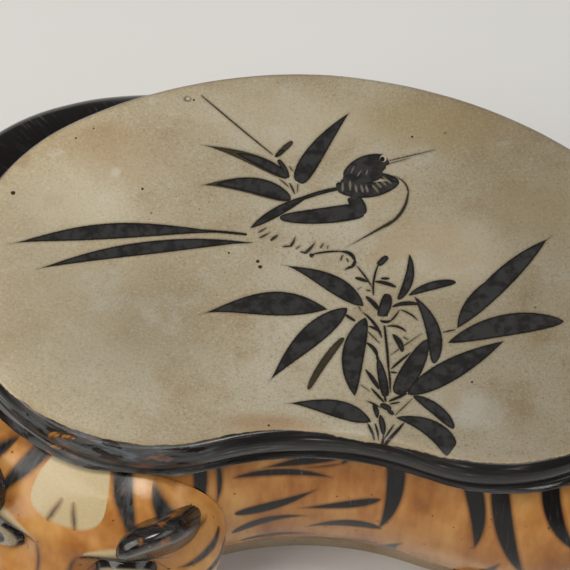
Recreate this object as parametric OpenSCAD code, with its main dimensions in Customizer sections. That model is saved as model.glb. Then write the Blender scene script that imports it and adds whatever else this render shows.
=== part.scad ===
// Recumbent tiger pillow in glazed stoneware. The hollow body is luted together from cut slabs,
// pressed walls and rolled coils, and carries a kidney-shaped headrest on the animal's back.
// Millimetres, +Z up, front towards -Y, head at -X. The origin is on the underside, halfway
// between the upright axes of the two end lobes.

/* [Headrest] */
// Distance between the upright axes of the two end lobes
lobe_spacing = 138; // [126:1:150]
// Radius of the headrest's lobe at the head end
head_lobe_r = 88.5; // [83:0.5:94]
// Radius of the headrest's lobe at the rump end
rump_lobe_r = 82.5; // [77:0.5:88]
// Radius of the long back edge
back_arc_r = 200; // [188:1:224]
// Radius of the hollow waist in the front edge
waist_arc_r = 130; // [116:1:156]
// Thickness of the headrest slab at its rim
rim_h = 15; // [12:0.5:18]
// How far the rounding on top of the rim reaches in from the edge
rim_roll = 6; // [4:0.5:10]
// How far the rounding under the rim reaches in from the edge
rim_under = 4; // [2:0.5:8]
// Depth of the hollow at the middle of the headrest
dish = 6; // [2:0.5:7]
// Forward slope of the headrest in degrees
slope = 3; // [0:0.5:5]

/* [Body] */
// Height of the seat under the headrest, over the lobe axes
seat_h = 103; // [96:1:118]
// Thickness of the base slab
base_t = 8; // [6:0.5:10]
// Thickness of the pressed walls
wall_t = 7; // [5:0.5:9]
// How far the foot of the wall stands in from the headrest's edge
foot_inset = 7.5; // [3:0.5:11]
// How far the top of the wall stands in from the inner end of the rim's underside
rim_tuck = 1; // [0:0.5:4]
// Swell of the belly past a straight wall
belly = 14; // [8:1:20]
// Extra swell of the shoulder behind the head
shoulder = 33; // [12:1:36]
// Extra swell of the haunches
haunch = 13; // [6:1:18]
// Diameter of the firing vent through the back wall
vent_d = 6; // [4:0.5:9]
// Height of the middle of the vent
vent_z = 62; // [40:1:80]

/* [Head] */
// Direction of the face around the head lobe's axis, in degrees from +X
face_dir = 254; // [246:1:258]
// Gap between the brow and the seat plane under the headrest
brow_gap = 2.5; // [1.5:0.5:6]
// How far the chin hangs below the tops of the forepaws
chin_drop = 2.5; // [0:0.5:3]
// Width of the face along the wall
face_w = 114; // [104:1:118]
// Height of the skull over the wall
skull = 22; // [16:1:26]
// Extra height of the muzzle
muzzle = 13; // [8:1:18]
// Thickness of the feathered edge of the face
face_edge = 1.2; // [0.8:0.1:2.5]
// Distance between the middles of the eyes
eye_gap = 44; // [40:1:48]
// Height of the eyes over the middle of the face
eye_rise = 7; // [5:0.5:9]
// Width of an eye
eye_w = 19; // [15:1:21]
// Height of an eye
eye_h = 15; // [12:1:16]
// How far an eye stands out of its socket
eye_out = 7; // [4:0.5:9]
// Distance between the middles of the ears
ear_gap = 68; // [64:1:72]
// How far the ears sit below the top of the face
ear_drop = 14.5; // [12:0.5:18]
// Width of an ear
ear_w = 27; // [22:1:30]
// Thickness of an ear at its root
ear_t = 12; // [9:1:14]
// How far an ear stands out from the face
ear_out = 15; // [10:1:18]
// Upward lean of an ear, as rise per reach
ear_lean = 0.9; // [0.5:0.05:1]
// Sideways lean of an ear, as shift per reach
ear_splay = -0.2; // [-0.4:0.05:0.1]
// How strongly the front of an ear is cupped
ear_cup = 0.45; // [0:0.05:0.5]
// Width of the nose
nose_w = 20; // [16:1:22]
// Height of the nose
nose_h = 12; // [9:1:14]
// Height of the middle of the nose over the middle of the face
nose_rise = -8; // [-10:1:-6]
// How far the nose stands out
nose_out = 5; // [3:0.5:7]

/* [Limbs] */
// Distance between the middles of the forepaws, along the wall
forepaw_gap = 66; // [60:1:72]
// Width of a forepaw
forepaw_w = 38; // [32:1:42]
// Height of a forepaw
forepaw_h = 23; // [18:1:24]
// How far a forepaw reaches out from the wall
forepaw_out = 25; // [18:1:30]
// Direction of the front hind paw around the rump lobe's axis, in degrees from +X
hind_paw_dir = -78; // [-82:1:-72]
// Width of a hind paw
hind_paw_w = 46; // [40:1:50]
// Height of a hind paw
hind_paw_h = 25; // [20:1:28]
// How far a hind paw reaches out from the wall
hind_paw_out = 18; // [12:1:24]
// Direction of the back hind paw around the rump lobe's axis, in degrees from +X
back_paw_dir = 40; // [36:1:44]
// Gap between the paws and the floor
floor_gap = 0.8; // [0.5:0.1:1.5]
// Width of the tail at its root
tail_d = 19; // [14:1:22]
// Width of the tail towards its tip
tail_tip_d = 12; // [8:1:14]
// How far the tail stands out from the wall at its root
tail_out = 11.5; // [8:0.5:14]
// Where the tail starts, along the wall from the rump's seam
tail_start = -34; // [-40:1:-28]
// Height of the tail's middle at its start
tail_low = 26; // [22:1:30]
// Length of the tail's run along the wall
tail_run = 74; // [60:1:80]
// Height that the tail climbs on the back haunch
tail_rise = 46; // [30:1:54]

/* [Luting] */
// Diameter of the clay coils pressed into the inner corners
coil_d = 8; // [6:0.5:10]
// Width of the strips pressed over the end seams inside
strip_w = 22; // [16:1:28]
// Thickness of those strips
strip_t = 3.5; // [2.5:0.5:5]
// Layer of slip under a piece that is stuck on
slip = 0.3; // [0.25:0.05:0.5]

/* [Hidden] */

cream = "#cdbf9f";
amber = "#b8742a";
dark_glaze = "#2b2420";
bare_clay = "#c9b291";

// Length of a facet along the outline, and the steps up a wall
facet = 10.5;
wall_steps = 12;

// The outline is four tangent arcs: two lobes, the back edge and the waist
head_c = [-lobe_spacing / 2, 0];
rump_c = [lobe_spacing / 2, 0];
back_c = meet(back_arc_r - head_lobe_r, back_arc_r - rump_lobe_r);
waist_c = meet(waist_arc_r + head_lobe_r, waist_arc_r + rump_lobe_r);
seat_inset = rim_under + rim_tuck;
coil_r = coil_d / 2;

// The face fills the height between the forepaws and the seat of the headrest
chin_z = floor_gap + forepaw_h - chin_drop;
face_top = seat_z(head_c[1] + (head_lobe_r - seat_inset) * sin(face_dir)) - brow_gap;
face_h = face_top - chin_z;
face_z = (face_top + chin_z) / 2;
face_power = 2.7;

// Relief of one half of the face over its skull and muzzle, each as [across, up, half width,
// half height, height] in mm from the middle of the face
brow = [eye_gap / 2, eye_rise + 13, 16, 6, 6.5];
socket = [eye_gap / 2, eye_rise, 0.66 * eye_w, 0.52 * eye_h, -5.5];
bridge = [0, nose_rise + 10, 10, 16, 5];
cheek = [40, -10, 11.5, 13, 6.5];
snout = [0, nose_rise - 8, 26, 13, muzzle];
lip = [0.6 * nose_w, nose_rise - 6, 10, 6, 4.5];
chin = [0, 6 - face_h / 2, 17, 5, 4];

// The mouth: half length, height, half width of the groove, depth and sag of its line
mouth_len = 24;
mouth_z = nose_rise - 16;
mouth_w = 3.5;
mouth_deep = 12;
mouth_sag = 3;
mouth_wave = 4.2;

// Thickness of the feathered edges of the stuck-on pellets and ears
pellet_edge = 0.5;
ear_edge = 1;

// Normal directions at which the arcs meet
rump_to_back = bearing(rump_c - back_c);
back_to_head = bearing(head_c - back_c);
head_to_waist = bearing(waist_c - head_c) + 360;
waist_to_rump = bearing(waist_c - rump_c);

// Swells of the wall: direction of the middle, half angle, height share of the fullest part
shoulder_at = [142, 92, 0.87];
front_haunch_at = [-54, 50, 0.42];
back_haunch_at = [24, 46, 0.42];

// Point on the front side at given distances from the two lobe axes
function meet(from_head, from_rump) =
    let (x = (from_head ^ 2 - from_rump ^ 2) / (2 * lobe_spacing))
    [x, -sqrt(from_head ^ 2 - (x + lobe_spacing / 2) ^ 2)];

function bearing(v) = atan2(v[1], v[0]);
function turn(arc, r) = arc / r * 180 / PI;
function mix(a, b, f) = a + (b - a) * f;
function clamp(x) = min(1, max(0, x));
function bell(x, y) = exp(-x * x - y * y);

// Smooth bump of the direction: 1 at the middle, 0 past the half angle
function swell(dir, at) = abs(dir - at[0]) < at[1] ? cos(90 * (dir - at[0]) / at[1]) ^ 2 : 0;

// Bump over the height, 0 at foot and seat and 1 at the given share
function hump(t, peak) = sin(180 * t ^ (ln(0.5) / ln(peak)));

// A station is [centre, radius, sign, angle]: one place on the outline that can be set in or out
function stations(c, r, sign, a0, a1) =
    let (n = ceil(abs(a1 - a0) * PI / 180 * r / facet))
    [for (i = [0:n - 1]) [c, r, sign, mix(a0, a1, i / n)]];
function set_off(st, d) = st[0] + (st[1] + st[2] * d) * [cos(st[3]), sin(st[3])];
function facing(st) = st[2] > 0 ? st[3] : st[3] + 180;

back_half = concat(
    stations(rump_c, rump_lobe_r, 1, 0, rump_to_back),
    stations(back_c, back_arc_r, 1, rump_to_back, back_to_head),
    stations(head_c, head_lobe_r, 1, back_to_head, 180),
    [[head_c, head_lobe_r, 1, 180]]
);
front_half = concat(
    stations(head_c, head_lobe_r, 1, 180, head_to_waist),
    stations(waist_c, waist_arc_r, -1, head_to_waist - 180, waist_to_rump + 180),
    stations(rump_c, rump_lobe_r, 1, waist_to_rump, 0),
    [[rump_c, rump_lobe_r, 1, 0]]
);
outline = concat(
    [for (i = [0:len(back_half) - 2]) back_half[i]],
    [for (i = [0:len(front_half) - 2]) front_half[i]]
);

// Height of the sloping seat plane, and of a point a share t up the wall under it
function seat_z(y) = seat_h + tan(slope) * y;
function wall_z(y_top, t) = mix(base_t, seat_z(y_top), t);

// Direction that counts for the shoulder, which fades over the back edge by length as on its lobe
function shoulder_dir(st) =
    st[0] == back_c ? back_to_head - (back_to_head - st[3]) * back_arc_r / head_lobe_r
    : st[0] == rump_c ? shoulder_at[0] - 180
    : facing(st);

// How far the wall's outer face stands out from the headrest's edge
function wall_off(dir, t, nape) =
    mix(-foot_inset, -seat_inset, t) + belly * sin(180 * t)
    + shoulder * swell(is_undef(nape) ? dir : nape, shoulder_at) * hump(t, shoulder_at[2])
    + haunch * swell(dir, front_haunch_at) * hump(t, front_haunch_at[2])
    + haunch * swell(dir, back_haunch_at) * hump(t, back_haunch_at[2]);

// A point of a wall at a station, a share t up and at a depth under the outer face
function wall_at(st, t, depth) =
    let (
        p = set_off(st, wall_off(facing(st), t, shoulder_dir(st)) - depth),
        top = set_off(st, -seat_inset - depth)
    )
    [p[0], p[1], wall_z(top[1], t)];

// A point over a lobe's wall: direction, height from the floor, and height over the face
function over_wall(c, r, dir, z, h) =
    let (
        top = seat_z(c[1] + (r - seat_inset) * sin(dir)),
        d = r + wall_off(dir, clamp((z - base_t) / (top - base_t))) + h
    )
    [c[0] + d * cos(dir), c[1] + d * sin(dir), z];

// Closed skin over rings that run counterclockwise seen from the first pole
module capped(first, rings, last) {
    m = len(rings[0]);
    n = len(rings);
    end = n * m + 1;
    polyhedron(
        points = concat([first], [for (ring = rings) each ring], [last]),
        faces = concat(
            [for (j = [0:m - 1]) [0, 1 + (j + 1) % m, 1 + j]],
            [for (k = [0:n - 2], j = [0:m - 1], half = [0, 1])
                let (a = 1 + k * m + j, b = 1 + k * m + (j + 1) % m)
                half == 0 ? [a, b, b + m] : [a, b + m, a + m]],
            [for (j = [0:m - 1]) [1 + (n - 1) * m + j, 1 + (n - 1) * m + (j + 1) % m, end]]
        )
    );
}

// Closed ring of sections, each of which runs down on the outside
module looped(sections) {
    n = len(sections);
    m = len(sections[0]);
    polyhedron(
        points = [for (section = sections) each section],
        faces = [for (k = [0:n - 1], j = [0:m - 1], half = [0, 1])
            let (
                a = k * m + j,
                b = k * m + (j + 1) % m,
                c = (k + 1) % n * m + j,
                d = (k + 1) % n * m + (j + 1) % m
            )
            half == 0 ? [a, c, d] : [a, d, b]]
    );
}

// Half of the body's wall along some stations, with square ends that butt at the seams
module wall(half_outline) {
    m = wall_steps;
    loop = 2 * (m + 1);
    n = len(half_outline);
    last = (n - 1) * loop;
    polyhedron(
        points = [for (st = half_outline) each concat(
            [for (i = [0:m]) wall_at(st, 1 - i / m, 0)],
            [for (i = [0:m]) wall_at(st, i / m, wall_t)]
        )],
        faces = concat(
            [for (k = [0:n - 2], j = [0:loop - 1], half = [0, 1])
                let (a = k * loop + j, b = k * loop + (j + 1) % loop)
                half == 0 ? [a, a + loop, b + loop] : [a, b + loop, b]],
            [for (i = [0:m - 1], half = [0, 1])
                half == 0 ? [i, i + 1, loop - 2 - i] : [i, loop - 2 - i, loop - 1 - i]],
            [for (i = [0:m - 1], half = [0, 1])
                half == 0 ? [last + i, last + loop - 2 - i, last + i + 1]
                    : [last + i, last + loop - 1 - i, last + loop - 2 - i]]
        )
    );
}

// A lump stuck on a lobe's wall. at is [arc length, height] of its middle from the direction dir,
// under(s, z) is the height of what it sits on, over(q, f) its own height, inside(h, f) the height
// of the hollow behind a height h, and bend(q, h) the sideways and upward shift at a height h.
module lump(c, r, dir, at, size, power, rings, spokes, under, over,
            seat_rings = 3, inside = function(h, f) 0, bend = function(q, h) [0, 0]) {
    place = function(q, f, top)
        let (
            s = at[0] + size[0] / 2 * q[0],
            z = at[1] + size[1] / 2 * q[1],
            h = over(q, f),
            rise = top ? h : inside(h, f),
            shift = bend(q, rise)
        )
        over_wall(c, r, dir + turn(s + shift[0], r), z + shift[1], under(s, z) + slip + rise);
    ring = function(f, top)
        [for (j = [0:spokes - 1]) place(f * round_box(360 * j / spokes, power), f, top)];
    capped(
        place([0, 0], 0, true),
        concat(
            [for (k = [1:rings]) ring(k / rings, true)],
            [for (k = [seat_rings:-1:1]) ring(k / seat_rings, false)]
        ),
        place([0, 0], 0, false)
    );
}

// Unit outline between an ellipse (power 2) and a box
function round_box(a, power) =
    [sign(cos(a)) * abs(cos(a)) ^ (2 / power), sign(sin(a)) * abs(sin(a)) ^ (2 / power)];
function dome(f, power) = sqrt(max(0, 1 - f ^ power));

// Height of the face over the wall. q runs from -1 to 1 over the width and the height.
function bump(s, z, m) = m[4] * bell((s - m[0]) / m[2], (z - m[1]) / m[3]);
function face_over(q, f) =
    let (
        s = abs(q[0]) * face_w / 2,
        z = q[1] * face_h / 2,
        past = max(0, s - mouth_len) / mouth_w,
        groove = bell(past, (z - mouth_z - mouth_sag * cos(mouth_wave * s)) / mouth_w)
    )
    face_edge + dome(f, 2.6) * (
        skull + bump(s, z, brow) + bump(s, z, socket) + bump(s, z, bridge) + bump(s, z, cheek)
        + bump(s, z, snout) + bump(s, z, lip) + bump(s, z, chin) - mouth_deep * groove
    );
function face_q(s, z) = [2 * s / face_w, 2 * (z - face_z) / face_h];
function box_share(q, power) = (abs(q[0]) ^ power + abs(q[1]) ^ power) ^ (1 / power);
on_face = function(s, z) let (q = face_q(s, z)) face_over(q, box_share(q, face_power));
on_wall = function(s, z) 0;

module base_slab() {
    color(bare_clay) linear_extrude(base_t) polygon([for (st = outline) set_off(st, -foot_inset)]);
}

module front_wall() {
    color(amber) wall(front_half);
}

module back_wall() {
    vent_reach = 3 * wall_t + belly;
    color(amber) difference() {
        wall(back_half);
        translate([back_c[0], back_c[1] + back_arc_r, vent_z])
            rotate([90, 0, 0])
            cylinder(d = vent_d, h = 2 * vent_reach, center = true, $fn = 48);
    }
}

module headrest() {
    roll_steps = 8;
    dish_rings = [0.3, 0.5, 0.7, 0.88];
    middle = back_c + [0, back_arc_r - head_lobe_r];
    raise = function(p, z) [p[0], p[1], seat_z(p[1]) + z];
    dish_ring = function(f)
        [for (st = outline) raise(mix(middle, set_off(st, -rim_roll), f), rim_h - dish * (1 - f * f))];
    roll_ring = function(a)
        [for (st = outline)
            raise(set_off(st, (a > 0 ? rim_roll : rim_under) * (cos(a) - 1)), rim_h * (1 + sin(a)) / 2)];
    color(cream) capped(
        raise(middle, rim_h - dish),
        concat(
            [for (f = dish_rings) dish_ring(f)],
            [for (i = [0:roll_steps]) roll_ring(90 - 180 * i / roll_steps)]
        ),
        raise(middle, 0)
    );
}

module head() {
    hollow_share = 0.84;
    hollow_slope = 7;
    color(amber) lump(
        head_c, head_lobe_r, face_dir, [0, face_z], [face_w, face_h], face_power, 16, 56, on_wall,
        function(q, f) face_over(q, f),
        seat_rings = 7,
        inside = function(h, f) clamp((hollow_share - f) * hollow_slope) * max(0, h - wall_t)
    );
}

module ear(side) {
    cup = function(q) ear_cup * (1 - q[0] ^ 2) * (1 - q[1]) / 2;
    color(dark_glaze) lump(
        head_c, head_lobe_r, face_dir, [side * ear_gap / 2, face_top - ear_drop], [ear_w, ear_t], 2.2,
        6, 24, on_face,
        function(q, f) ear_edge + dome(f, 3.2) * ear_out,
        bend = function(q, h) h * [side * ear_splay, ear_lean + cup(q)]
    );
}

module eye(side) {
    color(cream) lump(
        head_c, head_lobe_r, face_dir, [side * eye_gap / 2, face_z + eye_rise], [eye_w, eye_h], 2,
        4, 20, on_face,
        function(q, f) pellet_edge + dome(f, 2) * eye_out
    );
}

module nose() {
    color(dark_glaze) lump(
        head_c, head_lobe_r, face_dir, [0, face_z + nose_rise], [nose_w, nose_h], 2.4,
        4, 24, on_face,
        function(q, f) pellet_edge + dome(f, 2.4) * nose_out,
        seat_rings = 6
    );
}

// A roll of clay stuck on a lobe's wall. path(f) is [arc length, height] for f from 0 to 1,
// half_w(f) its half width and out(f) how far it stands out.
module roll(c, r, dir, path, half_w, out, power, steps) {
    edge = 0.4;
    ends = 0.015;
    place = function(p, h) over_wall(c, r, dir + turn(p[0], r), p[1], slip + h);
    section = function(f)
        let (along = path(f + ends) - path(f - ends), across = [along[1], -along[0]] / norm(along))
        [for (a = [0:30:330])
            let (q = round_box(a, power))
            place(path(f) + across * half_w(f) * q[0], a <= 180 ? edge + out(f) * q[1] : 0)];
    capped(
        place(path(0), edge / 2),
        [for (i = [0:steps]) section(mix(ends, 1 - ends, i / steps))],
        place(path(1), edge / 2)
    );
}

// A paw lies across the foot of the wall, with grooves between its toes
module paw(c, r, dir, s, size, out) {
    toes = 4;
    groove = 0.24;
    plump = function(f) dome(abs(2 * f - 1), 3);
    color(amber) roll(
        c, r, dir,
        function(f) [s + size[0] * (f - 0.5), floor_gap + size[1] / 2],
        function(f) size[1] / 2 * plump(f),
        function(f) out * plump(f) * (1 - groove + groove * sqrt(abs(sin(180 * toes * f)))),
        2.8, 4 * toes
    );
}

module forepaw(side) {
    paw(head_c, head_lobe_r, face_dir, side * forepaw_gap / 2, [forepaw_w, forepaw_h], forepaw_out);
}

module hind_paw(dir) {
    paw(rump_c, rump_lobe_r, dir, 0, [hind_paw_w, hind_paw_h], hind_paw_out);
}

// The tail leaves the rump low down, runs round the back haunch and curls up at its tip
module tail() {
    bend = 118;
    climb = 150;
    thick = function(f) mix(1, tail_tip_d / tail_d, f) * dome(abs(2 * f - 1), 14);
    color(dark_glaze) roll(
        rump_c, rump_lobe_r, 0,
        function(f) [
            tail_start + tail_run * sin(bend * f),
            tail_low + tail_rise * (1 - cos(climb * f)) / (1 - cos(climb)),
        ],
        function(f) tail_d / 2 * thick(f),
        function(f) tail_out * thick(f),
        2, 26
    );
}

// Six-sided coil in the corner between a wall and a slab. z_of(y) is the slab's face, up is the
// side on which the coil lies.
module coil(inset, z_of, up) {
    flat = coil_r * sin(60);
    color(bare_clay) looped([for (st = outline) [for (a = [300:-60:0])
        let (p = set_off(st, -inset - wall_t - coil_r - slip + coil_r * cos(a)))
        [p[0], p[1], z_of(p[1]) + up * flat + coil_r * sin(a)]
    ]]);
}

module base_coil() {
    coil(foot_inset, function(y) base_t, 1);
}

module headrest_coil() {
    coil(seat_inset, function(y) seat_z(y), -1);
}

// Strip pressed over an end seam on the inside, between the two coils
module seam_strip(c, r, dir) {
    steps = 8;
    margin = coil_d + 2 * slip;
    low = base_t + margin;
    high = seat_z(0) - margin;
    place = function(f, z, h) over_wall(c, r, dir + turn(f * strip_w / 2, r), z, -wall_t - slip - h);
    section = function(z) concat(
        [for (f = [1:-0.5:-1]) place(f, z, 0)],
        [for (f = [-0.8, 0, 0.8]) place(f, z, strip_t)]
    );
    color(bare_clay) capped(
        place(0, low, strip_t / 2),
        [for (i = [0:steps]) section(mix(low, high, i / steps))],
        place(0, high, strip_t / 2)
    );
}

base_slab();
front_wall();
back_wall();
headrest();
head();
ear(1);  // left_ear
ear(-1);  // right_ear
eye(1);  // left_eye
eye(-1);  // right_eye
nose();
forepaw(1);  // left_forepaw
forepaw(-1);  // right_forepaw
hind_paw(hind_paw_dir);  // front_hind_paw
hind_paw(back_paw_dir);  // back_hind_paw
tail();
base_coil();
headrest_coil();
seam_strip(head_c, head_lobe_r, 180);  // head_end_strip
seam_strip(rump_c, rump_lobe_r, 0);  // rump_end_strip
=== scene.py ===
"""Glazed stoneware tiger pillow: hand-smoothed clay pieces, brush painting, glazes and a studio."""
import logging
import math
from dataclasses import dataclass, field, replace
from enum import Enum
from functools import lru_cache
from typing import Callable, Sequence

import bpy
from bpy.types import Material, Node, NodeSocket, NodeTree, Object
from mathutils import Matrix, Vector
from mathutils.kdtree import KDTree


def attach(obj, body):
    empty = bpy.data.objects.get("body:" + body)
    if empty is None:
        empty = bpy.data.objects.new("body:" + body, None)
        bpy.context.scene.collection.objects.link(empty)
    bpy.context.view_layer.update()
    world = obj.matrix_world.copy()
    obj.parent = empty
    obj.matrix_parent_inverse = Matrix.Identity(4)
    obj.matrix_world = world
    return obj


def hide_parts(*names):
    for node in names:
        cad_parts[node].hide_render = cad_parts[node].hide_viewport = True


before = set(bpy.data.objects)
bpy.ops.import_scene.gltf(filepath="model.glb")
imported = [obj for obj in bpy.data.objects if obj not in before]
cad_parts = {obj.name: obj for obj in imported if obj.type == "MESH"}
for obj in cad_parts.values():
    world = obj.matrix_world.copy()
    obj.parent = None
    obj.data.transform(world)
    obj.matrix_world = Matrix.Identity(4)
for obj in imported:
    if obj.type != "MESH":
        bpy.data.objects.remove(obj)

Colour = tuple[float, float, float]
Spot = tuple[float, float]
Point = tuple[float, float, float]
Row = tuple[float, ...]
Value = NodeSocket | float | tuple[float, ...]
Sockets = dict[str, str]
Rule = Callable[..., dict[str, Value]]

LOG = logging.getLogger("tiger_pillow")
MM = 0.001
BODY = "root"
LAY = "lay"
BLACK: Colour = (0.0, 0.0, 0.0)
ORIGIN: Point = (0.0, 0.0, 0.0)
IN_PLANE: Point = (1.0, 1.0, 0.0)
GLAZE: Sockets = {"Color": "Color", "Roughness": "Float"}

# How many mm a stroke's mark falls over one stroke's length past its ends.
FALL_PAST_ENDS = 60.0
# A share so small that it changes no position.
TRACE = 1e-9
NO_STROKE: Point = (-9.0, 0.0, 0.0)

# Each row of a painting is one stroke in mm: start, tip, width, bend, land and lift.
# Twig and leaves over the bird's back.
SPRAY: tuple[Row, ...] = (
    (-21.9, 52.8, -46.2, 62.7, 5.4, -1.2, 0.4, 0.7), (-27.0, 61.2, -21.5, 52.5, 3, 0.3, 0.3, 0.4),
    (-19.6, 42.3, -53.3, 46.0, 8.6, -3.2, 0.5, 0.8), (-17.3, 50.8, 2.3, 87.4, 9.2, 1.8, 0.3, 0.9),
    (-28.5, 62.3, -24.7, 66.5, 2.6, 0, 0.5, 0.5),
)
# Bird with a long tail, seen from the side.
BIRD: tuple[Row, ...] = (
    (0.8, 49.5, -18.3, 40.9, 2.6, -0.65, 0.08, 0.1), (-10.7, 45.6, -35.8, 25.7, 5.2, -0.8, 0.9, 0.75),
    (12.1, 39.6, -23.5, 32.4, 9, 0.9, 0.12, 0.35), (6.6, 45.8, 11.2, 36.6, 7.2, 0.7, 0.18, 0.16),
    (20.8, 65.4, 2.4, 55.1, 8.4, -2.3, 0.22, 0.3), (19.9, 62.8, 2.3, 53.8, 7.2, 0, 0.3, 0.3),
    (19.1, 58.8, 1.3, 51.5, 7.4, 0, 0.3, 0.3), (26.6, 54.4, -0.7, 50.2, 8.4, 2.7, 0.45, 0.28),
    (26.3, 54.9, 14.7, 57.8, 3.6, -0.4, 0.35, 0.4), (-36.7, 22.6, -71.9, 21.4, 1.9, -0.6, 0.1, 0.3),
    (-37.9, 22.3, -137.2, 5.3, 8.4, -5, 1.9, 1.5), (-33.7, 18.9, -73.1, 14.2, 1.8, 0, 0.3, 0.3),
    (-34.5, 19.0, -123.2, -5.1, 7, -4, 1, 1.1), (-9.1, 14.6, -7.0, 15.5, 2.4, 0, 0.3, 0.5),
    (-8.3, 15.4, 4.4, 18.2, 1.5, 0.5, 0.2, 0.2), (3.5, 18.0, 10.6, 13.8, 2.3, 1.7, 0.35, 0.25),
    (10.5, 14.7, 8.8, 10.4, 2.1, 0.5, 0.3, 0.25), (9.7, 11.2, 6.0, 8.8, 1.7, -0.2, 0.3, 0.7),
    (5.3, 16.7, 4.5, 13.2, 1.2, -0.3, 0.4, 0.4), (6.6, 15.2, 7.6, 12.9, 1.1, 0.2, 0.4, 0.4),
)
# Bamboo leaves under the bird.
LEAVES: tuple[Row, ...] = (
    (1.2, -11.0, -52.4, -18.8, 12.4, -4.2, 1.0, 1.6), (15.8, -7.9, -20.6, 9.2, 9, -3, 0.75, 1.45),
    (9.0, -9.4, -20.2, -49.0, 10.6, -2.1, 0.7, 1.3), (16.9, -13.5, 15.4, -52.3, 9.8, -3, 0.6, 0.75),
    (22.9, -63.8, -12.9, -58.4, 9, -2.7, 0.75, 1.45), (30.1, -3.6, 33.3, 19.2, 4.6, -2.2, 0.4, 0.6),
    (34.1, -1.1, 53.6, 7.2, 4.7, 1.3, 0.55, 0.4), (55.0, -15.5, 91.2, 30.6, 9.6, 1.6, 0.8, 0.85),
    (55.4, -15.0, 76.0, 14.0, 7.6, 2.2, 0.7, 0.8), (88.8, 28.0, 93.7, 32.8, 0.8, 0, 0.3, 0.9),
    (51.7, -22.7, 99.1, -8.9, 10.9, 3.3, 0.75, 0.62), (36.7, -48.8, 75.2, -19.7, 10.6, 0.5, 0.6, 0.95),
    (32.3, -49.5, 43.4, -21.6, 9, -0.3, 0.35, 0.55), (36.5, -1.2, 46.8, -33.0, 6.8, 3.5, 0.75, 0.45),
    (32.7, -60.6, 55.9, -73.5, 9.7, 3.9, 0.6, 0.14), (53.1, -72.9, 54.5, -75.7, 2.8, 0, 0.3, 0.8),
    (39.0, -49.2, 56.2, -63.2, 5.8, 1.6, 0.5, 0.45), (23.5, -32.9, 27.9, -51.1, 4.5, 0.2, 0.45, 0.25),
)
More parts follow.
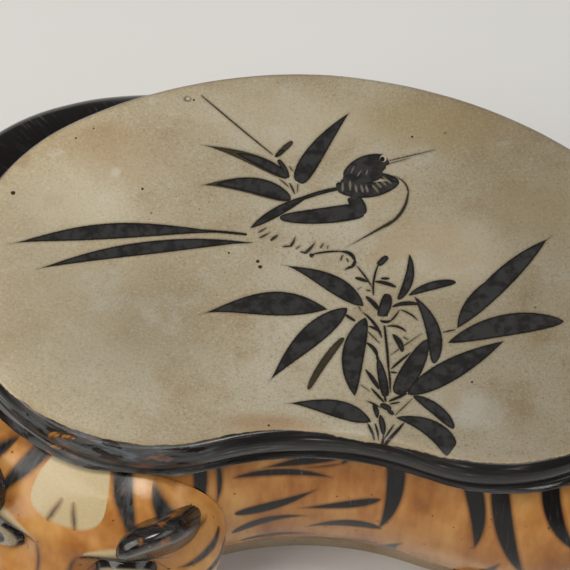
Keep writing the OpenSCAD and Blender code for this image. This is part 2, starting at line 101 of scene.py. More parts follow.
# Stem, twigs and rootlets of the bamboo.
STEMS: tuple[Row, ...] = (
    (25.0, -16.5, 28.3, -38.6, 1.7, 0.2, 0.12, 0.12), (28.2, -37.2, 29.6, -49.2, 1.5, 0.2, 0.2, 0.3),
    (25.4, -1.0, 23.5, -12.0, 5.6, 0.4, 0.3, 0.25), (21.7, -10.9, 26.2, -10.8, 3.4, 0, 0.15, 0.15),
    (16.3, -3.0, 23.1, -10.1, 2.7, 0.3, 0.35, 0.3), (23.0, -14.3, 27.7, -14.0, 2, -0.6, 0.3, 0.3),
    (26.7, -15.0, 30.9, -8.2, 1.4, -0.4, 0.3, 0.4), (15.2, -10.7, 24.5, -22.9, 1.9, 1.2, 0.5, 0.4),
    (18.1, -17.5, 24.1, -20.2, 2, 0.5, 0.5, 0.4), (25.5, -17.1, 34.4, -18.8, 1.7, 1.4, 0.4, 0.3),
    (30.5, -8.3, 38.9, -13.1, 1.4, 0.9, 0.4, 0.4), (27.6, -7.2, 38.8, -5.0, 2.6, 1, 0.35, 0.3),
    (20.3, 12.6, 24.0, 17.4, 3.4, 0, 0.25, 0.25), (19.5, -2.4, 20.5, 13.3, 1.5, 0.9, 0.2, 0.2),
    (11.0, 5.7, 17.1, 4.0, 2.2, 0.2, 0.4, 0.5), (11.2, 11.7, 18.9, 1.3, 1.4, 0.3, 0.3, 0.3),
    (19.4, 4.6, 28.8, 2.4, 2.4, 0.6, 0.4, 0.4), (21.8, 6.2, 25.8, 6.5, 1.8, 0, 0.4, 0.4),
    (16.0, 0.0, 18.4, -0.2, 1.2, 0, 0.4, 0.4), (12.1, -0.5, 14.2, 1.6, 0.7, 0, 0.4, 0.4),
    (28.7, -20.4, 33.4, -28.8, 3.2, 0.8, 0.5, 0.45), (17.5, -25.4, 23.2, -31.8, 2.3, 1, 0.45, 0.3),
    (22.8, -31.0, 23.9, -34.6, 1.8, 0, 0.3, 0.3), (17.0, -19.2, 23.9, -25.8, 1.1, 0.2, 0.4, 0.4),
    (28.2, -31.0, 41.1, -18.8, 1, 0.1, 0.3, 0.4), (33.1, -21.1, 35.7, -22.7, 1, -0.2, 0.4, 0.4),
    (49.2, -17.8, 54.7, -16.0, 1.2, 0, 0.3, 0.3), (8.0, -12.6, 12.9, -15.7, 1.9, 0, 0.3, 0.3),
    (13.4, -7.7, 15.0, -10.6, 0.9, 0, 0.4, 0.4), (29.1, -37.6, 37.1, -28.4, 1.7, 0.2, 0.3, 0.4),
    (28.9, -39.0, 32.0, -39.0, 1.5, 0, 0.3, 0.4), (18.6, -38.7, 25.1, -48.0, 2.5, 0.3, 0.5, 0.4),
    (21.6, -47.5, 27.8, -54.3, 1.7, 0, 0.4, 0.4), (16.8, -46.1, 21.5, -49.3, 0.8, 0, 0.4, 0.4),
    (25.9, -54.9, 30.5, -57.1, 3.4, 0, 0.35, 0.35), (27.3, -50.7, 28.2, -53.7, 1.5, 0, 0.3, 0.3),
    (29.1, -53.4, 36.8, -48.2, 1.9, 0, 0.35, 0.4), (29.6, -54.6, 33.9, -53.0, 1.4, 0, 0.4, 0.4),
    (20.2, -53.9, 26.3, -56.8, 1.4, 0.2, 0.4, 0.4), (23.3, -54.7, 25.3, -62.0, 2.7, 0.2, 0.4, 0.5),
    (26.2, -60.0, 28.3, -69.8, 3.1, 0.2, 0.5, 0.5), (28.3, -69.2, 27.9, -74.3, 1.6, 0, 0.3, 0.3),
    (21.3, -64.5, 24.8, -71.8, 1.7, 0.2, 0.4, 0.4), (24.4, -64.2, 26.4, -71.7, 1.5, 0.2, 0.4, 0.4),
    (32.2, -63.9, 28.4, -71.7, 1.4, 0, 0.4, 0.3), (36.3, -62.2, 28.2, -74.3, 2, 0.3, 0.4, 0.3),
    (32.0, -59.9, 38.9, -50.5, 1, 0, 0.3, 0.4), (29.0, -57.2, 31.7, -59.4, 2.5, 0, 0.35, 0.35),
)
# Strokes of thin ink that fired brown.
RUST: tuple[Row, ...] = (
    (-64.2, 89.4, -29.5, 63.3, 1.25, 0, 0.12, 0.12), (-21.9, 52.8, -61.8, 65.0, 6.2, -2.4, 0.45, 1.2),
    (-19.6, 42.3, -59.3, 44.8, 8.8, -3.6, 0.5, 1.1), (-28.5, 62.3, -21.6, 70.9, 3.2, 0, 0.4, 0.3),
    (-25.7, 51.5, -21.0, 47.8, 1.2, 0.3, 0.4, 0.4), (-21.2, 50.3, -18.1, 44.6, 1.5, 0.2, 0.4, 0.4),
    (-17.3, 50.4, -17.2, 45.6, 1, 0, 0.4, 0.4), (-22.0, 58.6, -20.0, 55.9, 1.1, 0, 0.4, 0.4),
    (21.1, 64.8, 41.4, 71.7, 1, 0, 0.15, 0.3), (20.3, 63.0, 31.1, 67.1, 0.9, 0, 0.2, 0.4),
    (23.0, 57.6, 30.9, 47.8, 1.3, 2.5, 0.3, 0.1), (30.7, 50.9, 21.5, 31.5, 2, 2.8, 0.3, 0.2),
    (26.3, 35.9, 5.7, 20.1, 1.9, 0.1, 0.12, 0.8), (-32.1, 24.0, -28.3, 27.2, 1.2, 0, 0.4, 0.6),
    (-31.3, 21.3, -26.6, 24.9, 1.4, 0, 0.4, 0.7), (-26.4, 20.5, -23.2, 24.2, 1.9, 0, 0.4, 0.6),
    (-21.3, 18.2, -16.6, 19.2, 1.4, -0.2, 0.4, 0.4), (-17.8, 18.2, -15.8, 24.1, 1.8, -0.3, 0.35, 0.9),
    (-15.3, 17.4, -13.1, 19.8, 1.1, 0, 0.4, 0.6), (-13.4, 16.4, -10.1, 15.9, 1.4, 0, 0.4, 0.4),
    (-11.4, 15.4, -7.0, 22.5, 2, -0.4, 0.35, 0.9), (-4.9, 18.7, -3.5, 21.9, 1.2, 0, 0.4, 0.6),
    (-1.9, 18.7, -1.5, 21.0, 0.9, 0, 0.4, 0.6), (8.6, -24.2, -3.8, -50.8, 3.9, -1, 0.25, 0.3),
)
# Pale gaps between the feathers of the bird's neck.
RUFF: tuple[Row, ...] = (
    (2.1, 52.6, 2.3, 47.9, 1.5, 0, 0.5, 0.5), (5.1, 53.9, 5.7, 48.5, 1.5, 0, 0.5, 0.5),
    (7.6, 52.0, 8.6, 47.8, 1.5, 0, 0.5, 0.5), (10.0, 52.2, 11.3, 48.0, 1.5, 0, 0.5, 0.5),
    (12.1, 52.2, 13.4, 48.2, 1.5, 0, 0.5, 0.5), (14.7, 52.6, 18.1, 48.6, 1.5, 0, 0.5, 0.5),
    (16.2, 54.1, 19.2, 51.1, 1.5, 0, 0.5, 0.5), (17.7, 55.5, 21.3, 52.3, 1.5, 0, 0.5, 0.5),
    (18.8, 56.9, 23.4, 53.4, 1.5, 0, 0.5, 0.5), (5.2, 57.1, 6.4, 61.4, 1.0, 0, 0.5, 0.5),
    (7.9, 55.8, 9.8, 59.4, 1.0, 0, 0.5, 0.5), (11.7, 56.7, 12.5, 60.0, 1.0, 0, 0.5, 0.5),
)
# Slanting strokes under the hollow of the front edge, along and up the wall.
WAIST: tuple[Row, ...] = (
    (164, 106, 159, 66, 7, 2, 0.35, 0.8), (172, 96, 169, 76, 3.4, 1, 0.4, 0.7),
    (189, 89.6, 222, 95, 5.2, -0.6, 0.9, 0.45), (225, 97, 221.5, 91, 2.8, 0.5, 0.3, 0.5),
    (222.5, 91.8, 204, 88.6, 1.5, 0.9, 0.5, 1.0), (177, 87.2, 219, 84.2, 4.4, 1.2, 0.6, 0.7),
    (176, 67, 213, 78, 6.5, -3, 0.4, 0.9), (240, 77, 204, 66, 5.5, 2.5, 0.5, 1.0),
    (174, 52, 209, 60, 6, 3, 0.4, 0.9), (242, 58, 207, 49, 6.5, -2.5, 0.45, 0.9),
    (178, 38, 212, 38, 5.5, 2.5, 0.5, 0.9), (240, 37, 205, 28, 5.5, 2.5, 0.5, 1.0),
    (182, 24, 206, 20, 4.5, 1.5, 0.5, 0.9),
)
# Main stroke of the mane, across the seam at the head end, along and up the wall.
COLLAR: Row = (590, 109, 874, 101, 46, -3, 1.0, 0.55)
# Dark strokes that hang from the mane over the shoulder, along and up the wall.
MANE: tuple[Row, ...] = (
    (676, 98, 660, 62, 11, 4, 0.4, 0.8), (706, 96, 700, 50, 12, -4, 0.4, 0.8),
    (740, 92, 728, 46, 14, 4, 0.4, 0.8), (772, 92, 762, 40, 15, -4, 0.4, 0.8),
    (802, 92, 798, 44, 13, 4, 0.4, 0.8),
)
# Slip patches on the middle and on one side of the face, around its middle.
PALE_MIDDLE: tuple[Row, ...] = (
    (-14, 32, 14, 32, 17, 0, 0.3, 0.3), (-20, -18, 20, -18, 17, 0, 0.35, 0.35),
    (-12, -32, 12, -32, 7, 0, 0.4, 0.4),
)
PALE_SIDE: tuple[Row, ...] = ((9, 17, 35, 18, 7.5, 2, 0.4, 0.5), (36, 0, 44, -26, 15, 0, 0.5, 0.5))
# Line under the nose, and the stripes, brows, lids, mouth and whiskers of one side of the face.
DARK_MIDDLE: tuple[Row, ...] = ((0, -13, 0, -22, 2.0, 0, 0.3, 0.3),)
DARK_SIDE: tuple[Row, ...] = (
    (13, 41, 25, 22, 7, 2, 0.3, 0.7), (30, 34, 50, 20, 5.5, -2, 0.5, 0.8),
    (7, 14, 36, 14, 4.4, 4.5, 0.5, 0.8), (10, 6, 35, 7, 2.2, 8.5, 0.3, 0.5),
    (11, 7, 34, 6, 1.8, -7.5, 0.3, 0.5), (5, 0, 7, 15, 2.0, 0.8, 0.4, 0.6),
    (5, 24, 2, 31, 1.8, 0, 0.4, 0.6), (28, -24, 0, -22, 2.4, 3.5, 0.5, 0.3),
    (54, 12, 38, 7, 5, 1.5, 0.4, 0.9), (56, 0, 42, -3, 5, 1.5, 0.4, 0.9),
    (55, -12, 42, -13, 4.6, 1.5, 0.4, 0.9), (52, -23, 40, -22, 4.2, 1.5, 0.4, 0.9),
    (10, -13.5, 12.4, -14.2, 2.0, 0, 0.3, 0.3), (24, -13, 44, -8, 1.2, 1.2, 0.3, 0.6),
    (15, -15.0, 17.4, -15.7, 2.0, 0, 0.3, 0.3), (25, -16.6, 45, -14.5, 1.2, 1.2, 0.3, 0.6),
    (20, -16.5, 22.4, -17.2, 2.0, 0, 0.3, 0.3), (26, -20.2, 46, -21.0, 1.2, 1.2, 0.3, 0.6),
)


class Slot(Enum):
    """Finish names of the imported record."""

    CREAM = "cream_headrest"
    AMBER = "amber_glaze"
    DARK = "dark_glaze"
    WHITE = "white_slip"
    CLAY = "bare_clay"


class Side(Enum):
    """Sides of the face, as signs along the wall."""

    LEFT = 1
    RIGHT = -1


def touches(spans: Sequence[Spot], low: Spot, high: Spot) -> bool:
    """Whether the spans of a box on both axes touch a box from low to high."""
    return all(a <= top and b >= bottom for (a, b), bottom, top in zip(spans, low, high))


@dataclass(frozen=True)
class Stroke:
    """One stroke of a loaded brush, in mm.

    The brush lands at start, lifts at tip, and swells to width between them. bend bows the stroke to
    the left of its travel. The lower land and lift are, the blunter the stroke starts and ends.
    """

    start: Spot
    tip: Spot
    width: float
    bend: float = 0.0
    land: float = 0.5
    lift: float = 0.9

    @property
    def length(self) -> float:
        """Straight distance from start to tip."""
        return math.hypot(self.tip[0] - self.start[0], self.tip[1] - self.start[1])

    @property
    def heading(self) -> Point:
        """Vector along the travel, whose product with a place is its share of the length."""
        square = self.length ** 2
        return ((self.tip[0] - self.start[0]) / square, (self.tip[1] - self.start[1]) / square, 0.0)

    @property
    def side(self) -> Point:
        """Unit vector to the left of travel."""
        return (-self.heading[1] * self.length, self.heading[0] * self.length, 0.0)

    @property
    def half(self) -> float:
        """Half width that makes the fullest place as wide as it should be."""
        fullest = self.land / (self.land + self.lift)
        return self.width / 2 / (fullest ** self.land * (1 - fullest) ** self.lift)

    def reaches(self, low: Spot, high: Spot) -> bool:
        """Tells whether the stroke shows in a box.

        Args:
            low: Lowest corner of the box.
            high: Highest corner of the box.

        Returns:
            Whether the stroke's own box touches it.
        """
        grow = self.width / 2 + abs(self.bend)
        spans = [(min(ends) - grow, max(ends) + grow) for ends in zip(self.start, self.tip)]
        return touches(spans, low, high)


def brushed(rows: Sequence[Row]) -> list[Stroke]:
    """Strokes from rows of start, tip, width, bend, land and lift."""
    return [Stroke(row[:2], row[2:4], *row[4:]) for row in rows]


def mirrored(rows: Sequence[Row]) -> list[Stroke]:
    """Lays the strokes of one side of the face on both sides.

    Args:
        rows: Rows of start, tip, width, bend, land and lift.

    Returns:
        The strokes of the one side and then of the other.
    """
    strokes = []
    for side in Side:
        k = side.value
        for x, y, tip_x, tip_y, width, bend, land, lift in rows:
            strokes.append(Stroke((k * x, y), (k * tip_x, tip_y), width, k * bend, land, lift))
    return strokes


def sway(size: float, rate: float, count: int, turn: float = 0.0) -> float:
    """A length that wavers from one stripe to the next."""
    return size * math.sin(rate * count + turn)


@dataclass(frozen=True)
class Fleck:
    """A soft oval stain or a hard spot: middle and half sizes in mm, strength, colour and softness."""

    centre: Spot
    across: float
    up: float
    share: float
    colour: Colour = BLACK
    soft: float = 1.2

    def reaches(self, low: Spot, high: Spot) -> bool:
        """Tells whether the oval shows in a box.

        Args:
            low: Lowest corner of the box.
            high: Highest corner of the box.

        Returns:
            Whether the oval's own box touches it.
        """
        grow = 1 + self.soft / 2
        spans = [(c - grow * half, c + grow * half) for c, half in zip(self.centre, (self.across, self.up))]
        return touches(spans, low, high)


class Bench:
    """Places nodes in one node tree, in columns, and links them."""

    column_w = 220
    row_h = 190
    rows = 6

    def __init__(self, tree: NodeTree) -> None:
        """Takes the tree that the nodes go into."""
        self.tree = tree
        self.count = 0

    def add(self, kind: str, feeds: dict[int | str, Value] | None = None, **options: object) -> Node:
        """Adds a node.

        Args:
            kind: Blender's name of the node type.
            feeds: What goes into its inputs, by place or name.
            options: Properties to set on the node.

        Returns:
            The new node.
        """
        node = self.tree.nodes.new(kind)
        for name, value in options.items():
            setattr(node, name, value)
        for key, value in (feeds or {}).items():
            self.feed(node.inputs[key], value)
        column, row = divmod(self.count, self.rows)
        node.location = (self.column_w * column, -self.row_h * row)
        self.count += 1
        return node

    def feed(self, socket: NodeSocket, value: Value) -> None:
        """Links a socket to an input, or sets the input to a constant.

        Args:
            socket: The input.
            value: A socket, a number, a colour or a vector.
        """
        if isinstance(value, NodeSocket):
            self.tree.links.new(value, socket)
        elif socket.type == "RGBA" and len(value) == 3:
            socket.default_value = (*value, 1.0)
        else:
            socket.default_value = value

    def math(self, operation: str, a: Value, b: Value = 0.0) -> NodeSocket:
        """Result of a Math node on one or two values."""
        return self.add("ShaderNodeMath", {0: a, 1: b}, operation=operation).outputs[0]

    def times(self, a: Value, b: Value) -> NodeSocket:
        """Product of two values."""
        return self.math("MULTIPLY", a, b)

    def plus(self, a: Value, b: Value) -> NodeSocket:
        """Sum of two values."""
        return self.math("ADD", a, b)

    def minus(self, a: Value, b: Value) -> NodeSocket:
        """Difference of two values."""
        return self.math("SUBTRACT", a, b)

    def vector(self, operation: str, a: Value, b: Value = ORIGIN) -> NodeSocket:
        """Vector that a Vector Math node makes of two vectors."""
        return self.add("ShaderNodeVectorMath", {0: a, 1: b}, operation=operation).outputs[0]

    def measure(self, operation: str, a: Value, b: Value = ORIGIN) -> NodeSocket:
        """Number that a Vector Math node makes of two vectors."""
        return self.add("ShaderNodeVectorMath", {0: a, 1: b}, operation=operation).outputs[1]

    def blend(self, factor: Value, a: Value, b: Value, mode: str = "MIX") -> NodeSocket:
        """Colour between a and b, or between a and a mixed with b in another mode."""
        feeds = {0: factor, 6: a, 7: b}
        return self.add("ShaderNodeMix", feeds, data_type="RGBA", blend_type=mode).outputs[2]

    def choose(self, factor: Value, a: Value, b: Value) -> NodeSocket:
        """Vector between a and b."""
        return self.add("ShaderNodeMix", {0: factor, 4: a, 5: b}, data_type="VECTOR").outputs[1]

    def lerp(self, factor: Value, a: Value, b: Value) -> NodeSocket:
        """Number between a and b."""
        return self.add("ShaderNodeMix", {0: factor, 2: a, 3: b}, data_type="FLOAT").outputs[0]

    def ease(self, value: Value, low: Value, high: Value) -> NodeSocket:
        """Smooth step from 0 at low to 1 at high."""
        feeds = {"Value": value, "From Min": low, "From Max": high}
        return self.add("ShaderNodeMapRange", feeds, interpolation_type="SMOOTHSTEP").outputs[0]

    def tint(
        self, body: Value, value: Value, low: float, high: float, share: Value, colour: Colour
    ) -> NodeSocket:
        """Body, coloured by a share where a value goes from low to high."""
        return self.blend(self.times(self.ease(value, low, high), share), body, colour)

    def split(self, vector: Value) -> tuple[NodeSocket, NodeSocket, NodeSocket]:
        """The three parts of a vector."""
        return tuple(self.add("ShaderNodeSeparateXYZ", {0: vector}).outputs)

    def pack(self, x: Value, y: Value, z: Value = 0.0) -> NodeSocket:
        """A vector from three numbers."""
        return self.add("ShaderNodeCombineXYZ", {0: x, 1: y, 2: z}).outputs[0]

    def noise(
        self, vector: Value, waves: float | Point, detail: float = 2.0, rough: float = 0.5
    ) -> NodeSocket:
        """Noise over a position in mm.

        Args:
            vector: The position.
            waves: Waves per mm, on each axis where they differ.
            detail: Octaves of finer noise.
            rough: Share of each finer octave.

        Returns:
            A number around 0.5.
        """
        stretch = waves if isinstance(waves, tuple) else (waves, waves, waves)
        place = self.vector("MULTIPLY", vector, stretch)
        feeds = {"Vector": place, "Scale": 1.0, "Detail": detail, "Roughness": rough}
        return self.add("ShaderNodeTexNoise", feeds).outputs[0]

    def dots(self, vector: Value, pitch: float, radius: float, share: float) -> NodeSocket:
        """Scattered round dots.

        Args:
            vector: The position in mm.
            pitch: Mean distance between dots in mm.
            radius: Radius of a dot in mm.
            share: Share of the places that have a dot.

        Returns:
            A mask of the dots.
        """
        node = self.add("ShaderNodeTexVoronoi", {"Vector": vector, "Scale": 1.0 / pitch})
        inside = self.ease(node.outputs["Distance"], 1.2 * radius / pitch, 0.5 * radius / pitch)
        chance, _, size = self.split(node.outputs["Color"])
        chosen = self.math("LESS_THAN", chance, share)
        return self.times(self.times(inside, chosen), self.lerp(size, 0.4, 1.0))

    def ramp(self, value: Value, stops: Sequence[tuple[float, Colour]]) -> NodeSocket:
        """Looks a value up on a ramp of colours.

        Args:
            value: The value.
            stops: Places on the ramp, from 0 to 1, and their colours.

        Returns:
            The colour.
        """
        node = self.add("ShaderNodeValToRGB", {0: value})
        elements = node.color_ramp.elements
        while len(elements) < len(stops):
            elements.new(0.5)
        for element, (place, colour) in zip(elements, stops):
            element.position = place
            element.color = (*colour, 1.0)
        return node.outputs[0]

    def group(self, tree: NodeTree, **values: Value) -> Sequence[NodeSocket]:
        """Places a node group.

        Args:
            tree: The group.
            values: Its inputs by name.

        Returns:
            The group's outputs.
        """
        return self.add("ShaderNodeGroup", values, node_tree=tree).outputs

    def place(self) -> NodeSocket:
        """Position on the piece in mm."""
        node = self.add("ShaderNodeTexCoord")
        return self.vector("MULTIPLY", node.outputs["Object"], (1 / MM, 1 / MM, 1 / MM))

    def lay(self) -> NodeSocket:
        """Position along and up the wall in mm."""
        return self.add("ShaderNodeAttribute", attribute_name=LAY).outputs["Vector"]


def shared(name: str, inputs: Sockets, outputs: Sockets) -> Callable[[Rule], Callable[[], NodeTree]]:
    """Makes a rule into a node group that several glazes share and that is built once.

    Args:
        name: The group's name.
        inputs: Names and kinds of its inputs, in the order in which the rule takes them.
        outputs: Names and kinds of its outputs, which the rule returns by name.

    Returns:
        A wrapper that turns the rule into a call for the group's tree.
    """
    def wrap(rule: Rule) -> Callable[[], NodeTree]:
        """Turns a rule into a call for its tree.

        Args:
            rule: What lays the group's nodes on a bench and returns its outputs.

        Returns:
            The call, which builds the group the first time.
        """
        @lru_cache(maxsize=None)
        def tree() -> NodeTree:
            """Builds the group.

            Returns:
                The group's tree.
            """
            made = bpy.data.node_groups.new(name, "ShaderNodeTree")
            for way, sockets in (("INPUT", inputs), ("OUTPUT", outputs)):
                for label, kind in sockets.items():
                    made.interface.new_socket(label, in_out=way, socket_type=f"NodeSocket{kind}")
            bench = Bench(made)
            given = bench.add("NodeGroupInput").outputs
            bench.add("NodeGroupOutput", rule(bench, *(given[label] for label in inputs)))
            return made
        return tree
    return wrap


@shared(
    "Brush stroke",
    dict.fromkeys(("Position", "Before", "Start", "Heading", "Side"), "Vector")
    | dict.fromkeys(("Half", "Bow", "Land", "Lift"), "Float"),
    {"Mark": "Vector"},
)
def brush_stroke(
    bench: Bench, place: Value, before: Value, start: Value, heading: Value, side: Value,
    half: Value, bow: Value, land: Value, lift: Value,
) -> dict[str, Value]:
    """One brush stroke, laid over the strokes before it.

    Args:
        bench: The group's bench.
        place: The position in mm.
        before: Mark of the strokes before it.
        start: Where the brush lands.
        heading: Vector along the travel, whose product with a place is its share of the length.
        side: Unit vector to the left of travel.
        half: Half width that land and lift narrow.
        bow: Four times the bend.
        land: Power of the swell at the start.
        lift: Power of the swell at the tip.

    Returns:
        Mark, which holds the mm inside the edge, the share along and the mm across.
    """
    # A trace of the stroke before it makes the renderer work out the strokes in turn.
    trace = bench.vector("MULTIPLY", before, (TRACE, TRACE, TRACE))
    away = bench.vector("SUBTRACT", bench.vector("ADD", place, trace), start)
    share = bench.measure("DOT_PRODUCT", away, heading)
    aside = bench.measure("DOT_PRODUCT", away, side)
    along = bench.math("MINIMUM", bench.math("MAXIMUM", share, 0.0), 1.0)
    left = bench.minus(1.0, along)
    across = bench.minus(aside, bench.times(bench.times(along, left), bow))
    swell = bench.times(bench.math("POWER", along, land), bench.math("POWER", left, lift))
    reach = bench.minus(bench.times(swell, half), bench.math("ABSOLUTE", across))
    past = bench.math("ABSOLUTE", bench.minus(share, along))
    reach = bench.minus(reach, bench.times(past, FALL_PAST_ENDS))
    deeper = bench.math("GREATER_THAN", reach, bench.measure("DOT_PRODUCT", before, (1.0, 0.0, 0.0)))
    return {"Mark": bench.choose(deeper, before, bench.pack(reach, along, across))}


@shared(
    "Dry brush",
    {"Mark": "Vector", "Position": "Vector", "Edge": "Float"},
    dict.fromkeys(("Cover", "Thin", "Deep", "Fringe"), "Float"),
)
def dry_brush(bench: Bench, mark: Value, place: Value, edge: Value) -> dict[str, Value]:
    """Brush marks that are thinner in the middle and speckled towards the tips.

    Args:
        bench: The group's bench.
        mark: Mark of the strokes.
        place: The position in mm.
        edge: Width of the soft edge in mm.

    Returns:
        Cover of the ink, how thin it is, how deep inside the stroke, and the fringe where it bled.
    """
    reach, along, across = bench.split(mark)
    streak = bench.noise(bench.pack(bench.times(along, 22.0), across), (0.3, 1.1, 1.0), 3.0, 0.6)
    grain = bench.noise(place, 1.1, 3.0, 0.7)
    worn = bench.plus(bench.times(bench.ease(along, 0.55, 1.0), 0.12), bench.times(streak, 0.75))
    worn = bench.plus(worn, bench.times(grain, 0.35))
    thin = bench.times(bench.ease(worn, 0.70, 0.98), bench.ease(reach, 0.15, 0.9))
    cover = bench.ease(bench.plus(reach, bench.times(grain, 0.55)), 0.22, bench.plus(edge, 0.22))
    cloud = bench.ease(bench.noise(place, 0.2, 3.0, 0.6), 0.36, 0.62)
    return {
        "Cover": bench.times(cover, bench.minus(1.0, bench.times(thin, 0.22))),
        "Thin": thin,
        "Deep": bench.times(bench.ease(reach, 0.3, 1.6), bench.lerp(cloud, 0.35, 1.1)),
        "Fringe": bench.ease(reach, -1.1, 0.4),
    }


@shared("Glaze skin", {"Position": "Vector"}, {"Height": "Float"})
def glaze_skin(bench: Bench, place: Value) -> dict[str, Value]:
    """Fine relief of a fired glaze: soft ripples, orange peel and pinholes.

    Args:
        bench: The group's bench.
        place: The position in mm.

    Returns:
        A height of about 0 to 1.
    """
    ripple = bench.noise(place, 0.045)
    peel = bench.noise(place, 0.55, 3.0, 0.6)
    holes = bench.dots(place, 7.0, 0.5, 0.35)
    height = bench.plus(bench.times(ripple, 0.75), bench.times(peel, 0.16))
    return {"Height": bench.minus(height, bench.times(holes, 0.22))}


@shared("Dark glaze", {"Flow": "Vector", "Milk": "Float"}, GLAZE)
def dark_glaze(bench: Bench, flow: Value, milk: Value) -> dict[str, Value]:
    """Black-brown glaze drawn along by a brush, with grey and rust-red breaks, and a milky grey-blue and
    pink veil that is partly a painted sky reflection.

    Args:
        bench: The group's bench.
        flow: The position in mm, first along the brush's travel.
        milk: How milky the glaze turned, and so how strong its veil of partly painted sky reflection is,
            from 0 to 1.

    Returns:
        A colour and a roughness.
    """
    streak = bench.noise(flow, (0.05, 0.80, 0.80), 4.0, 0.66)
    patchy = bench.noise(flow, (0.016, 0.05, 0.05))
    patch = bench.noise(flow, (0.06, 0.20, 0.20), 4.0, 0.62)
    veil = bench.noise(bench.vector("ADD", flow, (70.0, 30.0, 10.0)), (0.05, 0.26, 0.26), 4.0, 0.62)
    ore = bench.noise(flow, (0.045, 0.22, 0.22), 3.0, 0.6)
    body = bench.ramp(bench.plus(streak, bench.times(patchy, 0.42)), [
        (0.50, (0.006, 0.005, 0.004)),
        (0.72, (0.010, 0.0085, 0.007)),
        (0.82, (0.030, 0.028, 0.026)),
        (0.93, (0.150, 0.148, 0.146)),
    ])
    # Milky grey, grey-blue and pink veil: partly the glaze's own milkiness, partly a painted sky
    # reflection.
    body = bench.tint(body, veil, 0.34, 0.50, milk, (0.066, 0.066, 0.063))
    body = bench.tint(body, veil, 0.53, 0.68, milk, (0.125, 0.150, 0.168))
    body = bench.tint(body, patch, 0.55, 0.66, milk, (0.185, 0.105, 0.085))
    body = bench.tint(body, patch, 0.44, 0.38, 1.0, (0.010, 0.0042, 0.003))
    body = bench.tint(body, ore, 0.70, 0.78, 1.0, (0.20, 0.070, 0.010))
    return {"Color": body, "Roughness": bench.plus(bench.lerp(streak, 0.05, 0.18), bench.times(milk, 0.28))}


@shared("Amber glaze", {"Flow": "Vector"}, GLAZE)
def amber_glaze(bench: Bench, flow: Value) -> dict[str, Value]:
    """Amber glaze, thin and yellow in some places and brown where it ran and pooled.

    Args:
        bench: The group's bench.
        flow: The position along, up and out of the wall in mm.

    Returns:
        A colour and a roughness.
    """
    runs = bench.noise(flow, (0.11, 0.016, 0.1), 3.0, 0.55)
    patch = bench.noise(flow, 0.028, 3.0, 0.55)
    body = bench.ramp(bench.plus(bench.times(runs, 0.5), bench.times(patch, 0.5)), [
        (0.34, (0.56, 0.30, 0.095)),
        (0.48, (0.44, 0.195, 0.050)),
        (0.58, (0.33, 0.125, 0.026)),
        (0.72, (0.17, 0.055, 0.012)),
    ])
    body = bench.blend(bench.dots(flow, 4.5, 0.6, 0.4), body, (0.10, 0.035, 0.010))
    return {"Color": body, "Roughness": bench.lerp(patch, 0.08, 0.38)}


@shared("Cream slip", {"Position": "Vector"}, GLAZE)
def cream_slip(bench: Bench, place: Value) -> dict[str, Value]:
    """Pale slip under clear glaze, cloudy with buff and grey, with fine iron specks.

    Args:
        bench: The group's bench.
        place: The position in mm.

    Returns:
        A colour and a roughness.
    """
    cloud = bench.noise(place, 0.013, 4.0, 0.6)
    wisp = bench.noise(place, 0.05, 4.0, 0.62)
    grain = bench.noise(place, 0.9, 3.0, 0.7)
    body = bench.ramp(cloud, [
        (0.32, (0.385, 0.345, 0.262)),
        (0.46, (0.340, 0.292, 0.203)),
        (0.56, (0.310, 0.255, 0.167)),
        (0.70, (0.262, 0.205, 0.124)),
    ])
    body = bench.tint(body, wisp, 0.52, 0.74, 0.7, (0.270, 0.205, 0.122))
    body = bench.tint(body, wisp, 0.44, 0.28, 0.7, (0.375, 0.350, 0.285))
    body = bench.tint(body, grain, 0.50, 0.72, 0.55, (0.165, 0.132, 0.083))
    body = bench.tint(body, grain, 0.47, 0.30, 0.50, (0.450, 0.415, 0.330))
    body = bench.blend(bench.times(bench.dots(place, 5.0, 0.42, 0.45), 0.6), body, (0.13, 0.085, 0.045))
    body = bench.blend(bench.dots(place, 21.0, 0.75, 0.30), body, (0.07, 0.035, 0.018))
    return {"Color": body, "Roughness": bench.lerp(cloud, 0.14, 0.26)}


@shared("Bare clay", {"Position": "Vector"}, {"Color": "Color", "Height": "Float"})
def bare_clay(bench: Bench, place: Value) -> dict[str, Value]:
    """Unglazed buff stoneware with scorched patches and sandy grit.

    Args:
        bench: The group's bench.
        place: The position in mm.

    Returns:
        A colour and a height.
    """
    grit = bench.noise(place, 1.1, 3.0, 0.7)
    body = bench.ramp(bench.noise(place, 0.02, 4.0, 0.6), [
        (0.35, (0.52, 0.42, 0.29)),
        (0.52, (0.44, 0.33, 0.21)),
        (0.68, (0.34, 0.20, 0.11)),
    ])
    body = bench.tint(body, grit, 0.5, 0.75, 0.5, (0.22, 0.15, 0.09))
    body = bench.blend(bench.dots(place, 4.0, 0.5, 0.4), body, (0.09, 0.05, 0.03))
    return {"Color": body, "Height": grit}


